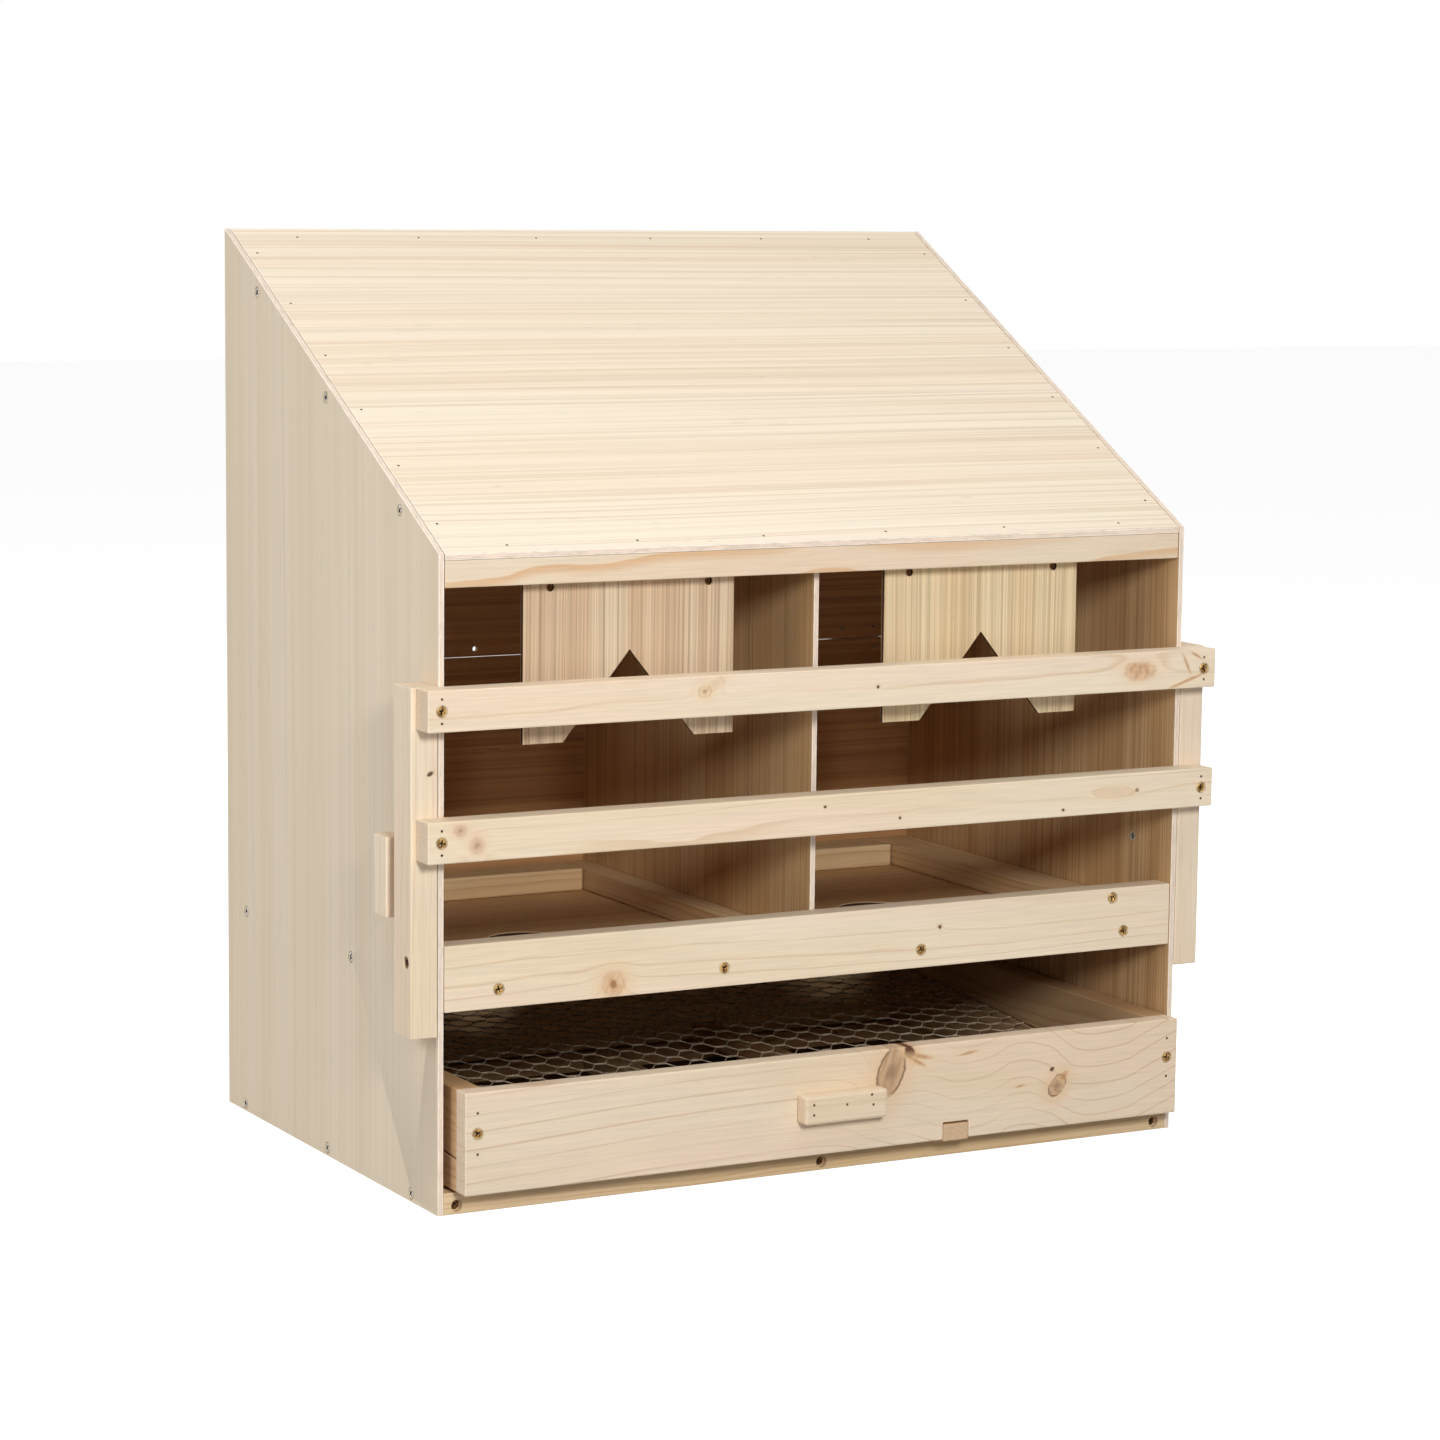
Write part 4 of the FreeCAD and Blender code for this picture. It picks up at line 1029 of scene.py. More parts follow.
# Painted shade: the inner pine is a darker copy of the pine for the rear rail and tie batten, standing in for
# the shade low inside the box.
SHADED_INNER_PINE = PineFinish(
    "inner", srgb(206, 164, 118), srgb(194, 150, 102), srgb(200, 156, 112), srgb(160, 114, 72), ring_mix=0.5
)
ROOF_VENEER = VeneerFinish(
    "roof", srgb(245, 231, 210), srgb(244, 225, 199), srgb(220, 196, 166), 0.7, 0.35, 0.5, 0.12, 0.045
)
SIDE_VENEER = VeneerFinish(
    "side", srgb(235, 219, 195), srgb(230, 211, 184), srgb(218, 198, 170), 0.7, 0.3, 0.22, 0.1, 0.03
)
LEFT_CURTAIN_VENEER = VeneerFinish(
    "left_curtain", srgb(222, 202, 173), srgb(211, 181, 149), srgb(171, 137, 104), 0.9, 0.2, 0.55, 0.15, 0.15
)
RIGHT_CURTAIN_VENEER = VeneerFinish(
    "right_curtain", srgb(230, 210, 174), srgb(222, 196, 154), srgb(180, 148, 104), 0.8, 0.15, 0.5, 0.15, 0.12
)
# Painted shade: the inner, wall and floor veneers are darker, more orange copies of the plywood for the faces
# inside the box, standing in for the shade there.
SHADED_INNER_VENEER = VeneerFinish(
    "inner", srgb(218, 182, 135), srgb(206, 164, 115), srgb(170, 127, 84), 0.8, 0.3, 0.5, 0.2, 0.08
)
SHADED_WALL_VENEER = VeneerFinish(
    "wall", srgb(206, 160, 110), srgb(194, 144, 94), srgb(154, 107, 65), 0.8, 0.4, 0.4, 0.3, 0.06
)
REAR_VENEER = VeneerFinish(
    "rear", srgb(240, 225, 201), srgb(234, 214, 184), srgb(216, 190, 154), 0.7, 0.4, 0.4, 0.15
)
SHADED_FLOOR_VENEER = VeneerFinish(
    "floor", srgb(212, 172, 124), srgb(202, 158, 110), srgb(178, 136, 94), 0.8, 0.35, 0.3
)
PLY_EDGE = PlyEdgeFinish("ply_edge")
# Painted shadow: the roof's sawn edge gets a dark line along its lower arris.
ROOF_EDGE = PlyEdgeFinish("roof_edge", under=0.85)
# Painted shade: this edge's near-black middle ply and glue lines darken the sawn edges of the curtains and
# nest floors, standing in for the shade inside the egg holes.
SHADED_PLY_EDGE = PlyEdgeFinish(
    "dark_edge", 0.0, srgb(226, 192, 152), srgb(64, 42, 28), srgb(70, 46, 30), srgb(90, 60, 40), 1.3 * MM
)
YELLOW_ZINC = MottledFinish("yellow_zinc", srgb(188, 152, 96), srgb(112, 80, 46), 0.3, 0.5)
BRIGHT_ZINC = MottledFinish("bright_zinc", srgb(228, 222, 212), srgb(180, 172, 162), 0.35, 0.55, 0.4)
# Painted shade: a dark brown that stands in for the shade inside the screws' cross recesses.
RECESS_PAINTED_SHADE = MottledFinish("recess_painted_shade", srgb(60, 42, 26), srgb(36, 24, 15), 0.5, 0.7, 0.3)
# Painted shade: a darker plating for screws sunk deep in the wood, standing in for the shade in their holes.
SUNK_SHADED_ZINC = MottledFinish("sunk_shaded_zinc", srgb(128, 94, 56), srgb(76, 52, 32), 0.4, 0.6, 0.7)
RAISED_FIBRES = MottledFinish("raised_fibres", srgb(204, 184, 148), srgb(160, 138, 104), 0.7, 0.85, 0.0)
BRAD_STEEL = MottledFinish("brads", srgb(104, 78, 56), srgb(64, 46, 32), 0.6, 0.8, 0.0)
HINGE_STEEL = MottledFinish("hinge_steel", srgb(196, 193, 187), srgb(180, 177, 170), 0.34, 0.46)
GALVANISED = MottledFinish("netting", srgb(194, 174, 149), srgb(144, 126, 104), 0.55, 0.75, 0.0)

ACROSS = (1.0, 0.0, 0.0)
BACKWARD = (0.0, 1.0, 0.0)
UPWARD = (0.0, 0.0, 1.0)
LEFTWARD = (-1.0, 0.0, 0.0)
FORWARD = (0.0, -1.0, 0.0)
SIDES = ("left", "right")


class BoardFace(IntEnum):
    """The materials of a board, in their order."""

    LONG = 0
    END = 1


class PanelFace(IntEnum):
    """The materials of a panel, in their order."""

    FRONT = 0
    EDGE = 1
    BACK = 2


class ScrewFace(IntEnum):
    """The materials of a set of screws, in their order."""

    PLATING = 0
    RECESS = 1
    FIBRES = 2


@dataclass(frozen=True)
class WoodPiece:
    """A wooden piece shown in place of its node.

    Attributes:
        node: the node.
        grain: how it was cut.
        ease: how far its long edges are eased, metres.
        slack: how far its ends, edges and faces stand back from what they meet, metres.
        WELD: distance within which points are one point, metres.
        FLAT: angle below which neighbouring faces are one face.
        SHARP: angle above which an edge is eased.
        LONG: length above which an edge is eased, metres.
        EASE_STEPS: faces across an eased edge.
        ROUND: profile of an eased edge.
    """

    node: str
    grain: Grain
    ease: float
    slack: Triple = field(default=(0.0, 0.0, 0.0), kw_only=True)

    WELD = 1e-6
    FLAT = math.radians(0.5)
    SHARP = math.radians(30)
    LONG = 6 * MM
    EASE_STEPS = 2
    ROUND = 0.5

    def shaped(self) -> bpy.types.Mesh:
        """Copy the node's form with whole faces and eased edges.

        Returns:
            The new mesh, with trunk coordinates on its points.
        """
        form = bmesh.new()
        form.from_mesh(frame["nodes"][self.node].data)
        bmesh.ops.remove_doubles(form, verts=form.verts, dist=self.WELD)
        bmesh.ops.dissolve_limit(form, angle_limit=self.FLAT, verts=form.verts, edges=form.edges)
        for axis, slack in zip(self.grain.axes(), self.slack):
            self._stand_back(form, Vector(axis), slack)
        edges = [
            edge for edge in form.edges
            if edge.is_manifold and edge.calc_length() > self.LONG and edge.calc_face_angle() > self.SHARP
        ]
        bmesh.ops.bevel(
            form, geom=edges, offset=self.ease, segments=self.EASE_STEPS, profile=self.ROUND,
            affect="EDGES", clamp_overlap=False,
        )
        bmesh.ops.recalc_face_normals(form, faces=form.faces)
        mesh = bpy.data.meshes.new(self.node)
        form.to_mesh(mesh)
        form.free()
        points = np.array([vertex.co for vertex in mesh.vertices])
        trunk = self.grain.trunk(points, self.middle())
        stored = mesh.attributes.new(GRAIN, "FLOAT_VECTOR", "POINT")
        stored.data.foreach_set("vector", trunk.astype(np.float32).ravel())
        return mesh

    def _stand_back(self, form: bmesh.types.BMesh, axis: Vector, slack: float) -> None:
        """Draw both ends in along an axis.

        Args:
            form: the piece's form.
            axis: unit vector.
            slack: how far each end moves in, metres.
        """
        places = {vertex: axis @ vertex.co for vertex in form.verts}
        low, high = min(places.values()), max(places.values())
        for vertex, place in places.items():
            if place < low + self.WELD:
                vertex.co += axis * slack
            elif place > high - self.WELD:
                vertex.co -= axis * slack

    def middle(self) -> np.ndarray:
        """Give the middle of the node's box."""
        low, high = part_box(self.node)
        return np.array((low + high) / 2)

    def dressed(self, materials: Sequence[bpy.types.Material], ending: str) -> bpy.types.Object:
        """Make the piece.

        Args:
            materials: the materials, in the order that choose counts them.
            ending: word added to the node's name.

        Returns:
            The piece.
        """
        mesh = self.shaped()
        for material in materials:
            mesh.materials.append(material)
        axes = self.grain.axes()
        for polygon in mesh.polygons:
            polygon.material_index = self.choose(axes @ np.array(polygon.normal))
        return standing_for(self.node, mesh, ending)

    def choose(self, facing: np.ndarray) -> int:
        """Pick a face's material from its normal in trunk directions."""
        raise NotImplementedError


@dataclass(frozen=True)
class Board(WoodPiece):
    """A solid pine board.

    Attributes:
        finish: the pine.
        knots: its knots.
        flow: places across and up that one ring's line runs through, mm, where the rings follow it.
        END_COSINE: cosine to the fibres above which a face shows end grain.
    """

    finish: PineFinish = PINE
    knots: tuple[Knot, ...] = ()
    flow: tuple[tuple[float, float], ...] = ()

    END_COSINE = 0.8

    def choose(self, facing: np.ndarray) -> BoardFace:
        """Pick end grain for faces that look along the fibres."""
        return BoardFace.END if abs(facing[0]) > self.END_COSINE else BoardFace.LONG

    def build(self) -> bpy.types.Object:
        """Make the board."""
        return self.dressed((self.finish.material(self), self.finish.end_material()), "pine")


@dataclass(frozen=True)
class Panel(WoodPiece):
    """A thin plywood panel.

    Attributes:
        front: veneer on the side that the face direction looks from.
        back: veneer on the other side.
        edge: its sawn edges.
        EDGE_COSINE: cosine to the face direction below which a face is an edge.
    """

    front: VeneerFinish = SIDE_VENEER
    back: VeneerFinish = SIDE_VENEER
    edge: PlyEdgeFinish = PLY_EDGE

    EDGE_COSINE = 0.6

    def choose(self, facing: np.ndarray) -> PanelFace:
        """Pick the edge, or the veneer of that side.

        Args:
            facing: the face's normal in trunk directions.

        Returns:
            The material's place.
        """
        if abs(facing[2]) < self.EDGE_COSINE:
            return PanelFace.EDGE
        return PanelFace.FRONT if facing[2] > 0 else PanelFace.BACK

    def build(self) -> bpy.types.Object:
        """Make the panel."""
        materials = (self.front.material(), self.edge.material(), self.back.material())
        return self.dressed(materials, "ply")


@dataclass(frozen=True)
class Shank:
    """A fastener as its solid gives it.

    Attributes:
        head: middle of the head's face.
        way: direction into the wood.
        length: whole length, metres.
        head_radius: radius of the head.
        radius: radius of the shank.
        head_height: height of the head.
        flat: whether the head is a flat disc and not countersunk.
        NEAR: distance that counts as none, metres.
        PART_MIDDLE: a place inside the box, away from which heads of even rods look.
    """

    head: Vector
    way: Vector
    length: float
    head_radius: float
    radius: float
    head_height: float
    flat: bool

    NEAR = 0.05 * MM
    PART_MIDDLE = Vector((0.0, 0.0, 0.3))

    @classmethod
    def measured(cls, points: np.ndarray) -> "Shank":
        """Measure one fastener.

        Args:
            points: the points of its solid, as rows.

        Returns:
            Its measures.
        """
        middle = points.mean(axis=0)
        axis = np.linalg.svd(points - middle)[2][0]
        along = (points - middle) @ axis
        out = np.linalg.norm(points - middle - np.outer(along, axis), axis=1)
        first = out[along < along.min() + cls.NEAR].max()
        last = out[along > along.max() - cls.NEAR].max()
        far = np.linalg.norm(middle + along.max() * axis - cls.PART_MIDDLE)
        near = np.linalg.norm(middle + along.min() * axis - cls.PART_MIDDLE)
        if last > first + cls.NEAR or (abs(last - first) <= cls.NEAR and far > near):
            axis, along, first, last = -axis, -along, last, first
        depth = along - along.min()
        heads = depth[out > last + cls.NEAR]
        height = float(heads.max()) if len(heads) else 0.0
        flat = bool(len(heads)) and out[depth > height - cls.NEAR].max() > first - cls.NEAR
        head = Vector(middle + along.min() * axis)
        return cls(head, Vector(axis), float(np.ptp(along)), float(first), float(last), height, flat)

    def placed(self, turn: float) -> Matrix:
        """Give the matrix that puts a screw along +Z, with its head's face at the origin, in this place."""
        spin = Matrix.Rotation(turn, 4, "Z")
        return Matrix.Translation(self.head) @ self.way.to_track_quat("Z", "Y").to_matrix().to_4x4() @ spin


def solids_of(node: str) -> list[np.ndarray]:
    """Split a node's mesh into its separate solids.

    Args:
        node: the node.

    Returns:
        One array of points for each solid, in the order of its first point.
    """
    form = bmesh.new()
    form.from_mesh(frame["nodes"][node].data)
    bmesh.ops.remove_doubles(form, verts=form.verts, dist=WoodPiece.WELD)
    left = dict.fromkeys(form.verts)
    solids = []
    while left:
        queue = [next(iter(left))]
        del left[queue[0]]
        for vertex in queue:
            for edge in vertex.link_edges:
                other = edge.other_vert(vertex)
                if other in left:
                    del left[other]
                    queue.append(other)
        solids.append(np.array([vertex.co for vertex in queue]))
    form.free()
    return solids


def turned(form: bmesh.types.BMesh, profile: Sequence[tuple[float, float]], sides: int) -> Rings:
    """Turn a profile about Z.

    Args:
        form: mesh to add to.
        profile: radius and height of each ring; a radius of 0 closes the end.
        sides: points on a ring.

    Returns:
        The rings' vertices.
    """
    rings = []
    for radius, height in profile:
        count = sides if radius > 0 else 1
        angles = (2 * math.pi * step / sides for step in range(count))
        rings.append([form.verts.new((radius * math.cos(a), radius * math.sin(a), height)) for a in angles])
    for first, second in zip(rings, rings[1:]):
        for step in range(sides):
            corners = [first[step % len(first)], first[(step + 1) % len(first)]]
            corners += [second[(step + 1) % len(second)], second[step % len(second)]]
            form.faces.new(list(dict.fromkeys(corners)))
    return rings


def fastened(node: str, whole: bmesh.types.BMesh, finishes: Sequence[MottledFinish]) -> bpy.types.Object:
    """Show a mesh of fasteners in place of their node.

    Args:
        node: the node.
        whole: the fasteners' mesh, which is used up.
        finishes: their finishes, in the order of the faces' materials.

    Returns:
        The piece.
    """
    bmesh.ops.recalc_face_normals(whole, faces=whole.faces)
    mesh = bpy.data.meshes.new(node)
    whole.to_mesh(mesh)
    whole.free()
    for finish in finishes:
        mesh.materials.append(finish.material())
    return standing_for(node, mesh, "steel")


@dataclass(frozen=True)
class ScrewSet:
    """Cross-head screws shown in place of a node.

    Attributes:
        node: the node.
        finish: the plating.
        rim: radius of the ring of raised fibres, in head radii; 1 leaves it out.
        proud: height of those fibres, metres.
        arm: half-width of the cross, in head radii.
        reach: half-length of the cross, in head radii.
        recess: depth of the cross, in head radii.
        pitch: thread pitch, metres.
        sides: points round the head.
        FACE: radius of the head's plane face, in head radii.
        CHAMFER: height of a countersunk head's rounded rim, in head radii.
        DOME: height of a flat head's rounded rim, in head heights.
        BROW: a place on that rim, in head radii and rim heights.
        NECK: end of the plain neck below the head, metres.
        THREAD_START: start of the thread below the head, metres.
        ROOT: radius between the threads, in shank radii.
        VALLEY: end of the root, in pitches.
        CREST: place of the crest, in pitches.
        TIP: length of the tip, in shank radii.
        TAPER: size of the cross at its bottom against its top.
        RIDGE: places on the ring of fibres, in its widths and heights.
        SUNK: how far that ring reaches down into the wood, metres.
        STRAY: how far its outline strays.
    """

    node: str
    finish: MottledFinish
    rim: float = 1.0
    proud: float = 0.18 * MM
    arm: float = 0.17
    reach: float = 0.66
    recess: float = 0.6
    pitch: float = 1.3 * MM
    sides: int = 24

    FACE = 0.9
    CHAMFER = 0.06
    DOME = 0.35
    BROW = (0.98, 0.3)
    NECK = 0.2 * MM
    THREAD_START = 0.4 * MM
    ROOT = 0.74
    VALLEY = 0.45
    CREST = 0.72
    TIP = 2.2
    TAPER = 0.7
    RIDGE = ((0.0, 0.4), (0.3, 1.0), (0.7, 0.5))
    SUNK = 0.1 * MM
    STRAY = 0.05

    def build(self) -> bpy.types.Object:
        """Make all the screws of the node as one piece.

        Returns:
            The piece.
        """
        chance = random.Random(self.node)
        whole = bmesh.new()
        for points in solids_of(self.node):
            shank = Shank.measured(points)
            screw = self._screw(shank)
            screw.transform(shank.placed(chance.uniform(0, math.pi / 2)))
            single = bpy.data.meshes.new("screw")
            screw.to_mesh(single)
            screw.free()
            whole.from_mesh(single)
            bpy.data.meshes.remove(single)
        return fastened(self.node, whole, (self.finish, RECESS_PAINTED_SHADE, RAISED_FIBRES))

    def _screw(self, shank: Shank) -> bmesh.types.BMesh:
        """Make one screw that points along +Z with its head's face at the origin.

        Args:
            shank: its measures.

        Returns:
            Its mesh.
        """
        form = bmesh.new()
        radius, height = shank.head_radius, shank.head_height
        profile = [(self.FACE * radius, 0.0)]
        if shank.flat:
            dome = self.DOME * height
            profile += [(self.BROW[0] * radius, self.BROW[1] * dome), (radius, dome), (radius, height)]
        else:
            profile.append((radius, self.CHAMFER * radius))
        profile += [(shank.radius, height), (shank.radius, height + self.NECK)]
        root = self.ROOT * shank.radius
        tip = shank.length - self.TIP * shank.radius
        depth = height + self.THREAD_START
        while depth + self.pitch < tip:
            profile += [(root, depth), (root, depth + self.VALLEY * self.pitch)]
            profile.append((shank.radius, depth + self.CREST * self.pitch))
            depth += self.pitch
        profile += [(root, tip), (0.0, shank.length)]
        rings = turned(form, profile, self.sides)
        self._cross(form, rings[0], radius)
        if self.rim > 1:
            self._fibres(form, radius)
        return form

    def _fibres(self, form: bmesh.types.BMesh, radius: float) -> None:
        """Raise a ragged ring of fibres round the head.

        Args:
            form: the screw's mesh.
            radius: radius of its head, metres.
        """
        chance = random.Random(f"{self.node} fibres")
        before = len(form.faces)
        width = (self.rim - 1) * radius
        ridge = [(radius + share * width, -height * self.proud) for share, height in self.RIDGE]
        profile = [(radius, self.SUNK), *ridge, (radius + width, self.SUNK)]
        for ring in turned(form, profile, self.sides)[1:]:
            for vertex in ring:
                grown = 1 + chance.uniform(-self.STRAY, self.STRAY)
                vertex.co.x *= grown
                vertex.co.y *= grown
        form.faces.ensure_lookup_table()
        for face in form.faces[before:]:
            face.material_index = ScrewFace.FIBRES

    def _cross(self, form: bmesh.types.BMesh, rim: list[bmesh.types.BMVert], radius: float) -> None:
        """Close the head with a face that has a tapered cross sunk in it.

        Args:
            form: the screw's mesh.
            rim: points round the face.
            radius: radius of the head, metres.
        """
        loops = []
        for share, depth in ((1.0, 0.0), (self.TAPER, self.recess * radius)):
            arm, reach = self.arm * radius * share, self.reach * radius * share
            quarter = [(reach, -arm), (reach, arm), (arm, arm)]
            loop = []
            for turn in range(4):
                spin = Matrix.Rotation(turn * math.pi / 2, 2)
                loop += [form.verts.new((*(spin @ Vector(corner)), depth)) for corner in quarter]
            loops.append(loop)
        upper, lower = loops
        count = len(upper)
        for step in range(count):
            wall = (upper[step], upper[(step + 1) % count], lower[(step + 1) % count], lower[step])
            # The cross's walls and floor take the recess material, which paints the shade inside it.
            form.faces.new(wall).material_index = ScrewFace.RECESS
        form.faces.new(lower).material_index = ScrewFace.RECESS
        rings = [(loop[i], loop[(i + 1) % len(loop)]) for loop in (rim, upper) for i in range(len(loop))]
        edges = [form.edges.get(pair) or form.edges.new(pair) for pair in rings]
        bmesh.ops.triangle_fill(form, edges=edges, use_beauty=True)


@dataclass(frozen=True)
class BradSet:
    """Brads shown in place of a node: small dished heads, a touch proud of the wood.

    Attributes:
        node: the node.
        head: radius of the head and the dent that it sits in, metres.
        proud: how far the head stands out, metres.
        sides: points round the head.
        DISH: places on the head from its middle, in head radii and proud heights.
        NECK: depth at which the head ends in the shank, in proud heights.
    """

    node: str
    head: float = 0.95 * MM
    proud: float = 0.08 * MM
    sides: int = 12

    DISH = ((0.0, 0.0), (0.5, -0.4), (0.85, -1.0), (1.0, -0.3), (1.0, 1.0))
    NECK = 4

    def build(self) -> bpy.types.Object:
        """Make all the brads of the node as one piece.

        Returns:
            The piece.
        """
        whole = bmesh.new()
        for points in solids_of(self.node):
            shank = Shank.measured(points)
            radius = shank.radius
            before = len(whole.verts)
            profile = [(share * self.head, height * self.proud) for share, height in self.DISH]
            profile += [(radius, self.NECK * self.proud), (radius, shank.length - radius)]
            profile.append((0.0, shank.length))
            turned(whole, profile, self.sides)
            whole.verts.ensure_lookup_table()
            bmesh.ops.transform(whole, matrix=shank.placed(0.0), verts=whole.verts[before:])
        return fastened(self.node, whole, (BRAD_STEEL,))


def roof_face() -> Vector:
    """Give the direction that the roof's upper face looks in."""
    face = max(frame["nodes"]["roof_panel"].data.polygons, key=lambda polygon: polygon.area).normal
    return face.copy() if face.z > 0 else -face


@dataclass
class Carcass:
    """The fixed box: side panels, roof, rear wall, divider, front boards and bottom frame.

    Attributes:
        ply_ease: easing of plywood edges, metres.
        board_ease: easing of board edges, metres.
        end_gap: gaps at the ends of the pieces that fit between the side panels, metres.
        batten_gap: gaps beside and under the floor battens, metres.
        batten_ease: easing of the floor battens, metres.
        lintel_flow: a ring's line on the lintel, across and up, mm.
        side_shifts: where the left and right boards lie along the log, metres.
    """

    ply_ease: float = 0.25 * MM
    board_ease: float = 0.8 * MM
    end_gap: Triple = (0.5 * MM, 0.0, 0.0)
    batten_gap: Triple = (0.3 * MM, 1.4 * MM, 0.3 * MM)
    batten_ease: float = 1.3 * MM
    lintel_flow: tuple[tuple[float, float], ...] = (
        (-292, 426), (-250, 428.5), (-210, 435.5), (-185, 434.5), (-155, 437), (-125, 440.5), (-50, 441.5),
        (-20, 446), (0, 448.5), (22, 446), (60, 441), (120, 440), (190, 442.5), (235, 449), (292, 453),
    )
    side_shifts: tuple[float, float] = (40.0, 60.0)

    def panels(self) -> list[Panel]:
        """List the plywood panels.

        Returns:
            The panels, in the order in which they are made.
        """
        ease = self.ply_ease
        roof_grain = Grain(ACROSS, tuple(roof_face()), shift=2.0)
        # The inside faces take the darker veneers that paint the shade within the box.
        outside, rear = (SIDE_VENEER, SHADED_INNER_VENEER), (REAR_VENEER, SHADED_WALL_VENEER)
        panels = [
            Panel("roof_panel", roof_grain, ease, ROOF_VENEER, SHADED_INNER_VENEER, ROOF_EDGE, slack=self.end_gap),
            Panel("left_side_panel", Grain(UPWARD, LEFTWARD, shift=5.0), ease, *outside),
            Panel("right_side_panel", Grain(UPWARD, ACROSS, shift=9.0), ease, *outside),
            Panel("centre_divider", Grain(UPWARD, LEFTWARD, shift=13.0), ease, SHADED_INNER_VENEER, SHADED_INNER_VENEER),
            Panel("lower_rear_panel", Grain(ACROSS, BACKWARD, shift=17.0), ease, *rear),
        ]
        # These panels take the ply edge with painted shade in its middle ply.
        dark_edged = (
            ("left_curtain", Grain(UPWARD, FORWARD, shift=21.0), LEFT_CURTAIN_VENEER),
            ("right_curtain", Grain(UPWARD, FORWARD, shift=27.0), RIGHT_CURTAIN_VENEER),
            ("left_nest_floor", Grain(ACROSS, UPWARD, shift=31.0), SHADED_FLOOR_VENEER),
            ("right_nest_floor", Grain(ACROSS, UPWARD, shift=35.0), SHADED_FLOOR_VENEER),
        )
        for node, grain, veneer in dark_edged:
            panels.append(Panel(node, grain, ease, veneer, veneer, SHADED_PLY_EDGE))
        return panels

    def boards(self) -> list[Board]:
        """List the pine boards.

        Returns:
            The boards, in the order in which they are made.
        """
        ease = self.board_ease
        slope = tuple(Vector(ACROSS).cross(-roof_face()))
        lintel_grain = Grain(ACROSS, BACKWARD, (460, 0), 3.0)
        front_grain = Grain(ACROSS, BACKWARD, (-26, 48), 6.0)
        front_knots = (
            Knot((-164.5, 147.0), (8.0, 8.0), KnotKind.RINGED, 20),
            Knot((94.2, 166.0), (1.5, 1.5), KnotKind.PIN),
        )
        boards = [
            Board("front_lintel", lintel_grain, ease, LINTEL_PINE, (), self.lintel_flow, slack=self.end_gap),
            Board("front_board", front_grain, ease, PINE, front_knots, slack=self.end_gap),
            Board("bottom_front_rail", Grain(ACROSS, BACKWARD, (40, 30), 8.0), ease, TAN_PINE),
            Board("bottom_rear_rail", Grain(ACROSS, BACKWARD, (-35, 40), 10.0), ease, SHADED_INNER_PINE),
            Board("rear_top_rail", Grain(ACROSS, BACKWARD, (20, -45), 12.0), ease, PINE),
            Board("centre_runner", Grain(BACKWARD, UPWARD, (25, 35), 14.0), ease, TAN_PINE),
        ]
        battens = [("centre_floor_batten", Grain(BACKWARD, UPWARD, (-12, 40), 16.0))]
        for side, shift in zip(SIDES, self.side_shifts):
            boards += [
                Board(f"{side}_runner", Grain(BACKWARD, UPWARD, (30, 24), shift), ease, TAN_PINE),
                Board(f"{side}_roof_batten", Grain(slope, ACROSS, (28, 30), shift + 2), ease, PINE),
                Board(f"{side}_stop_block", Grain(UPWARD, ACROSS, (24, 36), shift + 4), ease, PINE),
            ]
            battens += [
                (f"{side}_floor_batten", Grain(BACKWARD, UPWARD, (14, 44), shift + 6)),
                (f"{side}_front_floor_batten", Grain(ACROSS, UPWARD, (-16, 38), shift + 8)),
                (f"{side}_rear_floor_batten", Grain(ACROSS, UPWARD, (20, 32), shift + 10)),
            ]
        for node, grain in battens:
            boards.append(Board(node, grain, self.batten_ease, BATTEN_PINE, slack=self.batten_gap))
        return boards

    def build(self) -> None:
        """Make the panels and boards."""
        for piece in (*self.panels(), *self.boards()):
            piece.build()


@dataclass
class PerchFrame:
    """The swinging perch: two bars and two rails.

    Attributes:
        ease: easing of the edges, metres.
    """

    ease: float = 0.9 * MM

    def build(self) -> None:
        """Make the bars and rails."""
        upper_knots = (
            Knot((-107.2, 346.5), (5.0, 4.2), KnotKind.SOUND),
            Knot((-99.0, 351.0), (7.0, 3.5), KnotKind.FAINT, -30),
            Knot((246.0, 343.5), (12.0, 6.5), KnotKind.BRUSHED, 0),
            Knot((286.3, 347.0), (7.0, 1.0), KnotKind.STREAK, 64),
            Knot((286.5, 334.5), (15.0, 1.0), KnotKind.STREAK, -18),
            Knot((295.0, 352.5), (5.0, 0.9), KnotKind.STREAK, 30),
            Knot((28.3, 342.9), (1.2, 1.2), KnotKind.PIN),
        )
        lower_knots = (
            Knot((-288.0, 263.5), (4.5, 3.6), KnotKind.RUST),
            Knot((-276.2, 252.8), (4.6, 5.0), KnotKind.RUST),
            Knot((-12.5, 261.7), (1.2, 1.0), KnotKind.PIN),
            Knot((182.9, 247.0), (1.2, 1.1), KnotKind.PIN),
            Knot((245.9, 257.5), (1.5, 1.3), KnotKind.PIN),
            Knot((226.0, 257.3), (16, 4.0), KnotKind.FAINT, 2),
            Knot((47.8, 250.1), (1.1, 1.1), KnotKind.PIN),
        )
        bar_knots = (Knot((-301.0, 299.3), (2.6, 1.4), KnotKind.PIN, 60),)
        pieces = (
            Board("upper_perch_rail", Grain(ACROSS, BACKWARD, (-8, 34), 80.0), self.ease, PINE, upper_knots),
            Board("lower_perch_rail", Grain(ACROSS, BACKWARD, (12, 42), 84.0), self.ease, PINE, lower_knots),
            Board("left_perch_bar", Grain(UPWARD, BACKWARD, (16, 22), 88.0), self.ease, BAR_PINE, bar_knots),
            Board("right_perch_bar", Grain(UPWARD, BACKWARD, (-18, 26), 92.0), self.ease, BAR_PINE),
        )
        for piece in pieces:
            piece.build()


